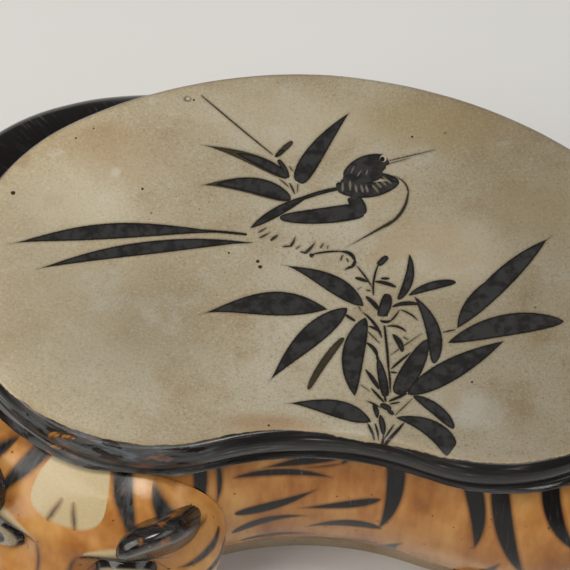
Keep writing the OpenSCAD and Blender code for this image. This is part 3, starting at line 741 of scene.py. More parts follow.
@dataclass(frozen=True)
class Painter:
    """Lays strokes and flecks into a material, over positions in mm."""

    bench: Bench
    position: NodeSocket
    edge: float = 0.6

    def mark(self, strokes: Sequence[Stroke]) -> Value:
        """Lays strokes one over another.

        Args:
            strokes: The strokes, in the plane of the position.

        Returns:
            The mark of the strokes: mm inside the edge, share along and mm across.
        """
        last: Value = NO_STROKE
        for stroke in strokes:
            last = self.bench.group(
                brush_stroke(), Position=self.position, Before=last, Start=(*stroke.start, 0.0),
                Heading=stroke.heading, Side=stroke.side, Half=stroke.half, Bow=4 * stroke.bend,
                Land=stroke.land, Lift=stroke.lift,
            )["Mark"]
        return last

    def inked(self, strokes: Sequence[Stroke]) -> tuple[NodeSocket, ...]:
        """Cover, thinness, depth and fringe of strokes laid by a brush that runs dry."""
        mark = self.mark(strokes)
        return tuple(self.bench.group(dry_brush(), Mark=mark, Position=self.position, Edge=self.edge))

    def spot(self, fleck: Fleck) -> NodeSocket:
        """Mask of a fleck: its share inside and 0 outside.

        Args:
            fleck: The oval, in the plane of the position.

        Returns:
            The mask.
        """
        bench = self.bench
        away = bench.vector("SUBTRACT", self.position, (*fleck.centre, 0.0))
        scaled = bench.vector("MULTIPLY", away, (1 / fleck.across, 1 / fleck.up, 0.0))
        radius = bench.measure("LENGTH", scaled)
        return bench.times(bench.ease(radius, 1.0 + fleck.soft / 2, 1.0 - fleck.soft / 2), fleck.share)

    def stain(self, colour: Value, flecks: Sequence[Fleck]) -> Value:
        """Lays flecks over a colour.

        Args:
            colour: The colour under them.
            flecks: The flecks, in the plane of the position.

        Returns:
            The stained colour.
        """
        for fleck in flecks:
            colour = self.bench.blend(self.spot(fleck), colour, fleck.colour)
        return colour


@dataclass(frozen=True)
class Finish:
    """A fired surface: its material name, how strongly its relief shows, and its gloss."""

    name: str
    relief: float = 0.35
    depth: float = 0.0004
    gloss: float = 0.5

    def start(self) -> tuple[Bench, Node]:
        """Makes the material.

        Returns:
            A bench on its tree and the surface shader.
        """
        material = bpy.data.materials.new(self.name)
        material.use_nodes = True
        return Bench(material.node_tree), material.node_tree.nodes["Principled BSDF"]

    def finish(self, bench: Bench, shader: Node, colour: Value, rough: Value, height: Value) -> Material:
        """Connects colour, roughness and relief to the shader.

        Args:
            bench: The material's bench.
            shader: The surface shader.
            colour: Base colour.
            rough: Roughness.
            height: Relief of about 0 to 1.

        Returns:
            The finished material.
        """
        bench.feed(shader.inputs["Base Color"], colour)
        bench.feed(shader.inputs["Roughness"], rough)
        shader.inputs["Specular IOR Level"].default_value = self.gloss
        feeds = {"Strength": self.relief, "Distance": self.depth, "Height": height}
        bench.feed(shader.inputs["Normal"], bench.add("ShaderNodeBump", feeds).outputs[0])
        return bpy.data.materials[self.name]


@dataclass(frozen=True)
class HeadrestGlaze(Finish):
    """Cream slip with the brush painting, inside a band of dark glaze on the rim, with painted light
    towards the head end and painted shade towards the rump end.
    """

    name: str = "painted_headrest"
    ink: Colour = (0.007, 0.0056, 0.0040)
    grey: Colour = (0.032, 0.0315, 0.0315)
    wash: Colour = (0.070, 0.052, 0.025)
    brown: Colour = (0.026, 0.020, 0.012)
    dun: Colour = (0.046, 0.036, 0.021)
    halo: Colour = (0.30, 0.19, 0.075)
    # Painted light brightens the slip towards the head end, and painted shade darkens it towards the rump
    # end.
    light: Colour = (1.42, 1.38, 1.30)
    painted_light_from: Spot = (-40.0, -165.0)
    painted_shade: Colour = (0.70, 0.68, 0.65)
    painted_shade_from: Spot = (-10.0, 100.0)
    band: float = 4.45
    band_behind: float = 8.15
    band_soft: float = 0.25
    band_step: float = 0.25
    behind_from_x: Spot = (10.0, 50.0)
    behind_from_y: Spot = (5.0, 40.0)
    halo_w: float = 3.0
    halo_share: float = 0.32
    bled: float = 0.34
    thinned: float = 0.8
    slit: float = 0.5
    ink_rough: float = 0.14
    gloss: float = 0.38
    broad: tuple[Fleck, ...] = (
        Fleck((-62.0, -80.0), 52.0, 60.0, 2.5, soft=1.0),
        Fleck((32.0, -60.0), 24.0, 60.0, -1.2),
        Fleck((68.0, -80.0), 34.0, 60.0, 1.4, soft=0.9),
    )
    # Patch where the rim's glaze takes the milky veil, which is partly a painted sky reflection.
    milk: Fleck = Fleck((-84.0, -87.0), 42.0, 31.0, 0.9, soft=0.9)
    matt: Fleck = Fleck((34.0, -76.0), 58.0, 30.0, 0.3, soft=0.7)
    matt_inset: Spot = (10.0, 6.0)

    def rim_mask(self, painter: Painter, lay: NodeSocket) -> tuple[NodeSocket, NodeSocket]:
        """Where the dark band lies: on the whole rim in front and at the head, and low down behind.

        Args:
            painter: A painter over positions in mm.
            lay: Length along the rim, mm in from the edge, and mm below the top.

        Returns:
            Mask of the band, and how near a place on the cream is to it.
        """
        bench, place = painter.bench, painter.position
        x, y, _ = bench.split(place)
        _, inset, drop = bench.split(lay)
        wave = bench.noise(place, 0.09, 3.0)
        edge = bench.plus(bench.times(wave, 1.6), bench.times(bench.noise(place, 0.5), 0.7))
        front = bench.minus(bench.plus(inset, edge), self.band)
        for swell in self.broad:
            front = bench.minus(front, painter.spot(swell))
        behind = bench.minus(self.band_behind, bench.plus(drop, edge))
        right = bench.ease(bench.plus(x, bench.times(wave, 60.0)), *self.behind_from_x)
        rear = bench.ease(bench.plus(y, bench.times(wave, 40.0)), *self.behind_from_y)
        signed = bench.lerp(bench.times(right, rear), front, behind)
        band = bench.ease(signed, self.band_soft, -self.band_soft)
        return band, bench.ease(signed, self.halo_w, 0.0)

    def material(
        self, ink: Sequence[Stroke], rust: Sequence[Stroke], slits: Sequence[Stroke],
        stains_and_painted_light: Sequence[Fleck], spots: Sequence[Fleck],
    ) -> Material:
        """Builds the material.

        Args:
            ink: Strokes of dark ink.
            rust: Strokes that fired brown.
            slits: Gaps left between strokes.
            stains_and_painted_light: Stains in the slip and patches of painted light and painted shade,
                under the painting.
            spots: Spots on the glaze, over all else.

        Returns:
            The finished material.
        """
        bench, shader = self.start()
        place, lay = bench.place(), bench.lay()
        painter = Painter(bench, place)
        colour, rough = bench.group(cream_slip(), Position=place)
        x, _, _ = bench.split(place)
        # Painted light towards the head end, then painted shade towards the rump end, multiplied into the
        # slip.
        colour = bench.blend(bench.ease(x, *self.painted_light_from), colour, self.light, "MULTIPLY")
        colour = bench.blend(bench.ease(x, *self.painted_shade_from), colour, self.painted_shade, "MULTIPLY")
        # Stains in the slip, and patches of painted light and painted shade.
        colour = painter.stain(colour, stains_and_painted_light)
        rim, near = self.rim_mask(painter, lay)
        colour = bench.blend(bench.times(near, self.halo_share), colour, self.halo)
        for strokes, core, body in ((rust, self.brown, self.dun), (ink, self.ink, self.grey)):
            if strokes:
                cover, thin, deep, fringe = painter.inked(strokes)
                colour = bench.blend(bench.times(fringe, self.bled), colour, self.wash)
                if slits:
                    gaps, *_ = painter.inked(slits)
                    cover = bench.times(cover, bench.minus(1.0, bench.times(gaps, self.slit)))
                tone = bench.blend(deep, core, body)
                tone = bench.blend(bench.times(thin, self.thinned), tone, self.wash)
                colour = bench.blend(cover, colour, tone)
                rough = bench.lerp(cover, rough, self.ink_rough)
        dark, dark_rough = bench.group(dark_glaze(), Flow=lay, Milk=painter.spot(self.milk))
        colour = painter.stain(bench.blend(rim, colour, dark), spots)
        _, inset, _ = bench.split(lay)
        dull = bench.times(painter.spot(self.matt), bench.ease(inset, *self.matt_inset))
        rough = bench.plus(bench.lerp(rim, rough, dark_rough), dull)
        skin, = bench.group(glaze_skin(), Position=place)
        height = bench.plus(skin, bench.times(rim, self.band_step))
        return self.finish(bench, shader, colour, rough, height)


@dataclass(frozen=True)
class AmberGlaze(Finish):
    """Amber glaze with dark brush stripes and pale slip patches, ending in bare clay at the foot."""

    name: str = "striped_amber"
    centre: Spot = (0.0, 0.0)
    foot: float = 13.0
    ragged: float = 9.0
    slip: Colour = (0.60, 0.47, 0.25)
    stripe: Colour = (0.007, 0.0055, 0.0042)
    worn: Colour = (0.10, 0.032, 0.010)
    bleed: Colour = (0.15, 0.050, 0.013)
    pool: Colour = (0.12, 0.040, 0.012)
    # How strongly the stripes take the milky veil, which is partly a painted sky reflection.
    milk: float = 0.0
    gloss: float = 0.3
    brush_edge: float = 1.3
    slip_share: float = 0.6
    stripe_share: float = 0.7
    worn_share: float = 0.30
    bleed_share: float = 0.5
    pool_share: float = 0.75
    pool_from: Spot = (5.0, 0.5)
    bare_from: Spot = (0.5, -0.3)
    foot_step: float = 0.6
    clay_rough: float = 0.85

    def material(self, dark: Sequence[Stroke], pale: Sequence[Stroke] = ()) -> Material:
        """Builds the material.

        Args:
            dark: Stripes of dark glaze, around the centre.
            pale: Patches of pale slip, around the centre.

        Returns:
            The finished material.
        """
        bench, shader = self.start()
        place, lay = bench.place(), bench.lay()
        flat = bench.vector("MULTIPLY", lay, IN_PLANE)
        along, up, out = bench.split(lay)
        painter = Painter(bench, bench.vector("SUBTRACT", flat, (*self.centre, 0.0)), self.brush_edge)
        colour, rough = bench.group(amber_glaze(), Flow=lay)
        if pale:
            cover, *_ = painter.inked(pale)
            slip, _ = bench.group(cream_slip(), Position=place)
            colour = bench.blend(cover, colour, bench.blend(self.slip_share, slip, self.slip))
        if dark:
            cover, thin, _, fringe = painter.inked(dark)
            colour = bench.blend(bench.times(fringe, self.bleed_share), colour, self.bleed)
            flow = bench.pack(bench.minus(up, out), along)
            glaze, glaze_rough = bench.group(dark_glaze(), Flow=flow, Milk=self.milk)
            tone = bench.blend(self.stripe_share * (1 - self.milk), glaze, self.stripe)
            tone = bench.blend(bench.times(thin, self.worn_share), tone, self.worn)
            colour = bench.blend(cover, colour, tone)
            rough = bench.lerp(cover, rough, glaze_rough)
        wave = bench.noise(flat, (0.035, 0.01, 1.0), 3.0, 0.6)
        line = bench.minus(up, bench.lerp(wave, self.foot - self.ragged, self.foot + self.ragged))
        colour = bench.tint(colour, line, *self.pool_from, self.pool_share, self.pool)
        bare = bench.ease(line, *self.bare_from)
        clay, _ = bench.group(bare_clay(), Position=place)
        skin, = bench.group(glaze_skin(), Position=place)
        height = bench.minus(skin, bench.times(bare, self.foot_step))
        rough = bench.lerp(bare, rough, self.clay_rough)
        return self.finish(bench, shader, bench.blend(bare, colour, clay), rough, height)


@dataclass(frozen=True)
class DarkGlaze(Finish):
    """Black-brown glaze on small applied pieces, wearing to amber in patches."""

    name: str = "dark_pellet"
    thin: Colour = (0.26, 0.095, 0.022)
    # How strongly the glaze takes the milky veil, which is partly a painted sky reflection.
    milk: float = 0.15

    def material(self) -> Material:
        """Builds the material.

        Returns:
            The finished material.
        """
        bench, shader = self.start()
        place = bench.place()
        dark, rough = bench.group(dark_glaze(), Flow=place, Milk=self.milk)
        colour = bench.tint(dark, bench.noise(place, 0.12, 3.0), 0.58, 0.70, 1.0, self.thin)
        skin, = bench.group(glaze_skin(), Position=place)
        return self.finish(bench, shader, colour, rough, skin)


@dataclass(frozen=True)
class EyeGlaze(Finish):
    """Pale slip on an eye pellet, with a dark pupil and a dark lid line."""

    name: str = "painted_eye"
    centre: Spot = (0.0, 0.0)
    pupil: float = 4.3
    white_w: float = 8.17
    white_h: float = 6.3
    slip_rough: float = 0.2

    def material(self) -> Material:
        """Builds the material.

        Returns:
            The finished material.
        """
        bench, shader = self.start()
        place, lay = bench.place(), bench.lay()
        painter = Painter(bench, bench.vector("MULTIPLY", lay, IN_PLANE))
        slip, _ = bench.group(cream_slip(), Position=place)
        dark, dark_rough = bench.group(dark_glaze(), Flow=lay, Milk=0.0)
        pupil = painter.spot(Fleck(self.centre, self.pupil, self.pupil, 1.0, soft=0.15))
        white = painter.spot(Fleck(self.centre, self.white_w, self.white_h, 1.0, soft=0.12))
        mask = bench.math("MAXIMUM", pupil, bench.minus(1.0, white))
        rough = bench.lerp(mask, self.slip_rough, dark_rough)
        skin, = bench.group(glaze_skin(), Position=place)
        return self.finish(bench, shader, bench.blend(mask, slip, dark), rough, skin)


@dataclass(frozen=True)
class BareClay(Finish):
    """Unglazed stoneware of the underside and the inner coils."""

    name: str = "bare_stoneware"
    relief: float = 0.6
    rough: float = 0.88

    def material(self) -> Material:
        """Builds the material.

        Returns:
            The finished material.
        """
        bench, shader = self.start()
        colour, height = bench.group(bare_clay(), Position=bench.place())
        return self.finish(bench, shader, colour, self.rough, height)


@dataclass(frozen=True)
class Outline:
    """Kidney-shaped plan of the headrest, in mm: two lobes, a back arc and a hollow waist."""

    spacing: float = 138.0
    head_r: float = 88.5
    rump_r: float = 82.5
    back_r: float = 200.0
    waist_r: float = 130.0
    step: float = 0.8

    def meet(self, from_head: float, from_rump: float) -> Vector:
        """Point in front at given distances from the two lobe axes."""
        x = (from_head ** 2 - from_rump ** 2) / (2 * self.spacing)
        return Vector((x, -math.sqrt(from_head ** 2 - (x + self.spacing / 2) ** 2)))

    def arcs(self) -> list[tuple[Vector, float, float, float, float]]:
        """The arcs in order from the head end over the front.

        Returns:
            Centre, radius, sign of the outward side, and first and last angle of each arc.
        """
        head, rump = Vector((-self.spacing / 2, 0.0)), Vector((self.spacing / 2, 0.0))
        back = self.meet(self.back_r - self.head_r, self.back_r - self.rump_r)
        waist = self.meet(self.waist_r + self.head_r, self.waist_r + self.rump_r)

        def bearing(v: Vector) -> float:
            """Direction of a vector in radians."""
            return math.atan2(v.y, v.x)

        rump_back, head_back = bearing(rump - back), bearing(head - back)
        head_waist, rump_waist = bearing(waist - head) + 2 * math.pi, bearing(waist - rump)
        return [
            (head, self.head_r, 1, math.pi, head_waist),
            (waist, self.waist_r, -1, head_waist - math.pi, rump_waist + math.pi),
            (rump, self.rump_r, 1, rump_waist, rump_back),
            (back, self.back_r, 1, rump_back, head_back),
            (head, self.head_r, 1, head_back, math.pi),
        ]

    def survey(self, spots: Sequence[Vector]) -> list[tuple[float, float]]:
        """Measures points against the outline.

        Args:
            spots: Points in mm.

        Returns:
            For each point, the length along the outline from the head end and the mm outside it.
        """
        marks: list[tuple[Vector, Vector, float]] = []
        along = 0.0
        for centre, radius, sign, first, last in self.arcs():
            sweep = abs(last - first) * radius
            count = max(2, round(sweep / self.step))
            for i in range(count):
                angle = first + (last - first) * i / count
                ray = Vector((math.cos(angle), math.sin(angle)))
                marks.append((centre + radius * ray, sign * ray, along + sweep * i / count))
            along += sweep
        tree = KDTree(len(marks))
        for i, (spot, _, _) in enumerate(marks):
            tree.insert(spot.to_3d(), i)
        tree.balance()
        found = []
        for spot in spots:
            _, i, _ = tree.find((spot.x, spot.y, 0.0))
            base, normal, length = marks[i]
            gap = spot.to_2d() - base
            found.append((length + gap.dot(Vector((-normal.y, normal.x))), gap.dot(normal)))
        return found

    def round_trip(self) -> float:
        """Whole length of the outline in mm."""
        return sum(abs(last - first) * radius for _, radius, _, first, last in self.arcs())


def hold(piece: Object) -> None:
    """Makes a piece the only selected and the active object.

    Args:
        piece: The piece.
    """
    bpy.ops.object.select_all(action="DESELECT")
    piece.select_set(True)
    bpy.context.view_layer.objects.active = piece


@dataclass
class ClayPiece:
    """A clay piece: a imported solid, merged, smoothed by hand and made a little uneven."""

    node: str
    slot: Slot
    levels: int = 2
    uneven: float = 0.5
    crisp: bool = False
    weld: float = 0.00001
    flat_angle: float = math.radians(60)
    edge_angle: float = math.radians(55)
    shade_angle: float = math.radians(50)
    dent_size: float = 0.035

    def build(self) -> Object:
        """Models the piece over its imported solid.

        Returns:
            The new object, which stands for the solid.
        """
        piece = bpy.data.objects.new(f"clay_{self.node}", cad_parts[self.node].data.copy())
        bpy.context.scene.collection.objects.link(piece)
        piece.data.materials.clear()
        hold(piece)
        bpy.ops.mesh.customdata_custom_splitnormals_clear()
        bpy.ops.object.mode_set(mode="EDIT")
        bpy.ops.mesh.select_all(action="SELECT")
        bpy.ops.mesh.remove_doubles(threshold=self.weld)
        bpy.ops.mesh.tris_convert_to_quads(face_threshold=self.flat_angle, shape_threshold=self.flat_angle)
        if self.crisp:
            bpy.ops.mesh.select_all(action="DESELECT")
            bpy.ops.mesh.select_mode(type="EDGE")
            bpy.ops.mesh.edges_select_sharp(sharpness=self.edge_angle)
            bpy.ops.transform.edge_crease(value=1.0)
        bpy.ops.object.mode_set(mode="OBJECT")
        self.smooth(piece)
        if self.uneven:
            self.press(piece)
        bpy.ops.object.shade_smooth_by_angle(angle=self.shade_angle)
        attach(piece, BODY)
        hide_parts(self.node)
        LOG.info("%s: %d faces", piece.name, len(piece.data.polygons))
        return piece

    def smooth(self, piece: Object) -> None:
        """Rounds the facets, with the cage grown first so that the surface keeps its size.

        Args:
            piece: The piece to round.
        """
        cage = [point.co.copy() for point in piece.data.vertices]
        trial = piece.copy()
        trial.data = piece.data.copy()
        bpy.context.scene.collection.objects.link(trial)
        self.subdivide(trial)
        for point, sunk in zip(piece.data.vertices, trial.data.vertices):
            point.co = 2 * point.co - sunk.co
        bpy.data.meshes.remove(trial.data)
        self.subdivide(piece)
        low, high = (Vector(map(edge, *cage)) for edge in (min, max))
        for point in piece.data.vertices:
            point.co = Vector(map(max, low, map(min, high, point.co)))

    def subdivide(self, piece: Object) -> None:
        """Applies a subdivision surface.

        Args:
            piece: The piece to divide.
        """
        hold(piece)
        rounding = piece.modifiers.new("rounding", "SUBSURF")
        rounding.levels = rounding.render_levels = self.levels
        bpy.ops.object.modifier_apply(modifier=rounding.name)

    def press(self, piece: Object) -> None:
        """Gives the surface the slight hollows of hand-pressed clay.

        Args:
            piece: The piece to shape.
        """
        texture = bpy.data.textures.new(f"pressing_{self.node}", "CLOUDS")
        texture.noise_scale = self.dent_size
        texture.noise_depth = 1
        dent = piece.modifiers.new("dent", "DISPLACE")
        dent.texture = texture
        dent.texture_coords = "LOCAL"
        dent.mid_level = 1.0
        dent.strength = self.uneven * MM
        bpy.ops.object.modifier_apply(modifier=dent.name)


def write_lay(piece: Object, rows: Sequence[Point]) -> None:
    """Stores a surface position on each point of a piece.

    Args:
        piece: The piece.
        rows: A vector in mm for each point.
    """
    layer = piece.data.attributes.new(LAY, "FLOAT_VECTOR", "POINT")
    layer.data.foreach_set("vector", [part for row in rows for part in row])


def wall_lay(piece: Object, outline: Outline, near: float) -> None:
    """Stores length along the outline, height and reach on each point of a piece.

    Args:
        piece: The piece.
        outline: The plan that the length is measured on.
        near: A length on the piece, past which lengths don't wrap.
    """
    spots = [v.co / MM for v in piece.data.vertices]
    lap = outline.round_trip()
    rows = []
    for spot, (along, out) in zip(spots, outline.survey(spots)):
        rows.append((along - lap * round((along - near) / lap), spot.z, out))
    write_lay(piece, rows)


@dataclass(frozen=True)
class Canvas:
    """Splits a painted surface into tiles, so that each material holds only the strokes it shows."""

    pitch: float = 48.0

    def dress(
        self, piece: Object, finish: Finish, layers: Sequence[Sequence[Stroke | Fleck]],
        centre: Spot | None = None,
    ) -> None:
        """Gives each tile of a piece its material.

        Args:
            piece: The piece.
            finish: Its finish, whose material takes the layers.
            layers: Lists of strokes or flecks.
            centre: Middle of the layers on the stored surface positions, or none for x and y in mm.
        """
        spots = [(v.co.x / MM, v.co.y / MM) for v in piece.data.vertices]
        if centre:
            rows = [d.vector for d in piece.data.attributes[LAY].data]
            spots = [(row[0] - centre[0], row[1] - centre[1]) for row in rows]
        boxes: dict[Spot, tuple[Spot, Spot]] = {}
        owners: list[Spot] = []
        for face in piece.data.polygons:
            us, vs = zip(*(spots[i] for i in face.vertices))
            tile = (min(us) // self.pitch, min(vs) // self.pitch)
            low, high = boxes.get(tile, ((us[0], vs[0]), (us[0], vs[0])))
            boxes[tile] = (min(low[0], *us), min(low[1], *vs)), (max(high[0], *us), max(high[1], *vs))
            owners.append(tile)
        made: dict[tuple, int] = {}
        slots: dict[Spot, int] = {}
        for tile, (low, high) in boxes.items():
            kept = tuple(tuple(mark for mark in layer if mark.reaches(low, high)) for layer in layers)
            if kept not in made:
                made[kept] = len(made)
                named = replace(finish, name=f"{finish.name}_{len(made)}")
                piece.data.materials.append(named.material(*kept))
            slots[tile] = made[kept]
        piece.data.polygons.foreach_set("material_index", [slots[tile] for tile in owners])
        LOG.info("%s: %d materials on %d tiles", piece.name, len(made), len(boxes))


@dataclass(frozen=True)
class Painting:
    """Bird on a bamboo branch, painted with a loaded brush, in mm on the headrest."""

    eye: Spot = (18.7, 65.8)
    pupil: Spot = (18.35, 65.4)
    paper: Colour = (0.42, 0.37, 0.28)
    soot: Colour = (0.008, 0.007, 0.006)
    iron: Colour = (0.040, 0.016, 0.009)
    gold: Colour = (0.34, 0.150, 0.016)
    red: Colour = (0.13, 0.036, 0.012)
    # Colour of the patches of painted light on the slip.
    pale: Colour = (0.50, 0.44, 0.335)

    def stains_and_painted_light(self) -> list[Fleck]:
        """Soft stains in the slip, and soft patches of painted light and painted shade.

        Returns:
            The stains and patches, in the order in which they lie over each other.
        """
        return [
            Fleck((-18.6, -68.9), 17, 4.5, 0.55, (0.27, 0.150, 0.070)),
            Fleck((62, -54), 14, 8, 0.35, (0.42, 0.42, 0.40)),
            Fleck((54.7, -50.4), 4, 5, 0.40, (0.26, 0.175, 0.075)),
            Fleck((-137.5, 45.7), 3.0, 1.8, 0.50, (0.30, 0.185, 0.095)),
            Fleck((-136.1, 48.8), 2.0, 2.2, 0.45, (0.30, 0.185, 0.095)),
            Fleck((-98, 56), 20, 14, 0.35, (0.36, 0.245, 0.140)),
            Fleck((-96.6, 46.8), 2.0, 2.4, 0.45, (0.55, 0.52, 0.45)),
            Fleck((30, 84), 34, 13, 0.40, (0.27, 0.205, 0.095)),
            Fleck((88, 44), 26, 16, 0.30, (0.24, 0.185, 0.100)),
            # Painted shade: the next two patches darken the slip at the lower left of the head end.
            Fleck((-100, -28), 46, 34, 0.38, (0.235, 0.215, 0.165)),
            Fleck((-134, 14), 22, 26, 0.30, (0.270, 0.245, 0.190)),
            # Painted light: the next three patches brighten the slip at the head end, right of the middle
            # and at the back.
            Fleck((-112, 33), 22, 16, 0.35, (0.520, 0.465, 0.345)),
            Fleck((48, 20), 23, 18, 0.32, self.pale),
            Fleck((-32, 80), 36, 14, 0.30, self.pale),
        ]

    def spots(self) -> list[Fleck]:
        """The bird's eye, and iron spots burnt through the slip, one with a painted glint in its pit.

        Returns:
            The spots, in the order in which they lie over each other.
        """
        burnt = (
            (-138.9, 30.8, 1.0), (-84.1, 40.2, 0.6), (-116.2, 61.5, 0.45), (-109.1, 67.2, 0.4),
            (-30.7, 9.8, 0.8), (-29.4, 7.2, 0.9), (-43.4, 12.7, 0.5), (62.5, -40.6, 0.5),
            (30.6, 77.4, 0.55), (-18.0, -69.4, 0.5), (-67.1, 86.7, 0.5),
        )
        ore = (
            (-103.6, -80.0, 3.2, 0.55, self.red), (-104.6, -79.6, 1.9, 0.40, self.gold),
            (-102.6, -80.3, 1.2, 0.30, self.gold), (-99.6, -80.9, 1.0, 0.45, self.gold),
            (-97.4, -81.3, 2.2, 0.50, self.red), (-98.0, -81.1, 1.1, 0.36, self.gold),
            (-95.6, -81.8, 0.8, 0.26, self.gold), (-88.4, -82.1, 2.4, 0.34, self.red),
            (-86.0, -82.3, 1.2, 0.28, self.red),
        )
        return [
            Fleck(self.eye, 1.45, 1.75, 0.90, self.paper, 0.3),
            Fleck(self.pupil, 1.05, 1.3, 1.0, self.soot, 0.4),
            *(Fleck((x, y), radius, radius, 1.0, self.iron, 0.6) for x, y, radius in burnt),
            *(Fleck((x, y), across, up, 0.85, colour, 0.9) for x, y, across, up, colour in ore),
            Fleck((-70.0, 86.9), 1.7, 1.4, 0.85, (0.085, 0.050, 0.026), 0.8),
            # Painted highlight: a pale glint in the dark pit before it.
            Fleck((-69.8, 87.1), 0.9, 0.8, 0.9, (0.45, 0.40, 0.31), 0.8),
        ]

    def layers(self) -> tuple[Sequence[Stroke | Fleck], ...]:
        """Ink, rust, slits, stains with patches of painted light and shade, and spots."""
        ink = brushed(SPRAY + BIRD + LEAVES + STEMS)
        return ink, brushed(RUST), brushed(RUFF), self.stains_and_painted_light(), self.spots()


@dataclass
class Headrest:
    """The dished slab that the head lies on, with its painted face and dark rim."""

    outline: Outline
    rim_top: float = 118.0
    slope: float = math.tan(math.radians(3.0))

    def build(self) -> Object:
        """Models the slab and measures its surface along and across the rim.

        Returns:
            The slab.
        """
        piece = ClayPiece("headrest", Slot.CREAM).build()
        spots = [v.co / MM for v in piece.data.vertices]
        rows = []
        for spot, (along, out) in zip(spots, self.outline.survey(spots)):
            rows.append((along, -out, self.rim_top + self.slope * spot.y - spot.z))
        write_lay(piece, rows)
        return piece

    def dress(self, piece: Object) -> None:
        """Paints and glazes the slab."""
        Canvas().dress(piece, HeadrestGlaze(), Painting().layers())


@dataclass
class Body:
    """The two pressed walls and the base slab."""

    outline: Outline
    front_near: float = 205.0
    back_near: float = 617.0
    front_run: Spot = (240.0, 400.0)
    neck_run: Spot = (6.0, 60.0)
    back_run: Spot = (415.0, 812.0)
    pitch: float = 25.0
    hang_from: float = 107.0
    hang_to: float = 56.0
    hang_w: float = 9.0
    rise_from: float = 14.0
    rise_to: float = 50.0
    rise_w: float = 7.0
    rise_lean: float = 5.0
    tile: float = 60.0

    def build(self) -> dict[str, Object]:
        """Models the walls and the base.

        Returns:
            The pieces by the names of their solids.
        """
        pieces = {
            "front_wall": ClayPiece("front_wall", Slot.AMBER, crisp=True).build(),
            "back_wall": ClayPiece("back_wall", Slot.AMBER, crisp=True).build(),
            "base_slab": ClayPiece("base_slab", Slot.CLAY, uneven=0.0, crisp=True).build(),
        }
        wall_lay(pieces["front_wall"], self.outline, self.front_near)
        wall_lay(pieces["back_wall"], self.outline, self.back_near)
        return pieces

    def stripes(self, first: float, last: float) -> list[Stroke]:
        """Tiger stripes that hang from the rim and rise from the belly.

        Args:
            first: Length along the outline of the first stripe.
            last: Length along the outline that no stripe starts past.

        Returns:
            The strokes, along and up the wall.
        """
        strokes = []
        for i in range(int((last - first) / self.pitch) + 1):
            x = first + self.pitch * i + sway(5, 1.9, i)
            tip = (x + sway(13, 0.9, i), self.hang_to + sway(9, 2.4, i))
            strokes.append(Stroke((x, self.hang_from), tip, self.hang_w, sway(6, 1.3, i, 1.0), 0.35, 0.8))
            x += 0.5 * self.pitch
            start = (x - self.rise_lean, self.rise_from)
            tip = (x + sway(9, 1.1, i), self.rise_to + sway(7, 1.7, i))
            strokes.append(Stroke(start, tip, self.rise_w, sway(5, 1.5, i, math.pi / 2)))
        return strokes

    def collar(self, turned: float) -> Stroke:
        """The mane's main stroke, with its lengths along the outline turned back."""
        x, y, tip_x, tip_y, *shape = COLLAR
        return Stroke((x - turned, y), (tip_x - turned, tip_y), *shape)

    def dress(self, pieces: dict[str, Object]) -> None:
        """Glazes the walls and leaves the base bare.

        Args:
            pieces: The pieces by the names of their solids.
        """
        front = brushed(WAIST) + self.stripes(*self.front_run) + self.stripes(*self.neck_run)
        front.append(self.collar(self.outline.round_trip()))
        back = [self.collar(0.0)] + brushed(MANE) + self.stripes(*self.back_run)
        for side, strokes in (("front", front), ("back", back)):
            glaze = AmberGlaze(f"amber_{side}")
            Canvas(self.tile).dress(pieces[f"{side}_wall"], glaze, (strokes,), glaze.centre)
        pieces["base_slab"].data.materials.append(BareClay("bare_base").material())


@dataclass
class Head:
    """The pressed face with its ears, eyes and nose."""

    outline: Outline
    middle: Spot = (114.3, 58.8)
    eye: Spot = (22.0, 7.0)
    tile: float = 40.0

    def build(self) -> dict[str, Object]:
        """Models the face and what is stuck on it.

        Returns:
            The pieces by the names of their solids.
        """
        kinds = (
            ("head", Slot.AMBER, 0.4), ("left_ear", Slot.DARK, 0.3), ("right_ear", Slot.DARK, 0.3),
            ("left_eye", Slot.WHITE, 0.0), ("right_eye", Slot.WHITE, 0.0), ("nose", Slot.DARK, 0.0),
        )
        pieces = {name: ClayPiece(name, slot, uneven=uneven).build() for name, slot, uneven in kinds}
        for piece in pieces.values():
            wall_lay(piece, self.outline, self.middle[0])
        return pieces

    def dress(self, pieces: dict[str, Object]) -> None:
        """Paints the face and glazes what is stuck on it.

        Args:
            pieces: The pieces by the names of their solids.
        """
        # The face's stripes take half the milky veil, which is partly a painted sky reflection.
        glaze = AmberGlaze("amber_face", centre=self.middle, foot=6.0, milk=0.5)
        dark = brushed(DARK_MIDDLE) + mirrored(DARK_SIDE)
        pale = brushed(PALE_MIDDLE) + mirrored(PALE_SIDE)
        Canvas(self.tile).dress(pieces["head"], glaze, (dark, pale), self.middle)
        ear = DarkGlaze("dark_ear").material()
        for side in Side:
            name = f"{side.name.lower()}_eye"
            centre = (self.middle[0] + side.value * self.eye[0], self.middle[1] + self.eye[1])
            pieces[name].data.materials.append(EyeGlaze(name + "_slip", centre=centre).material())
            pieces[f"{side.name.lower()}_ear"].data.materials.append(ear)
        pieces["nose"].data.materials.append(DarkGlaze("dark_nose").material())


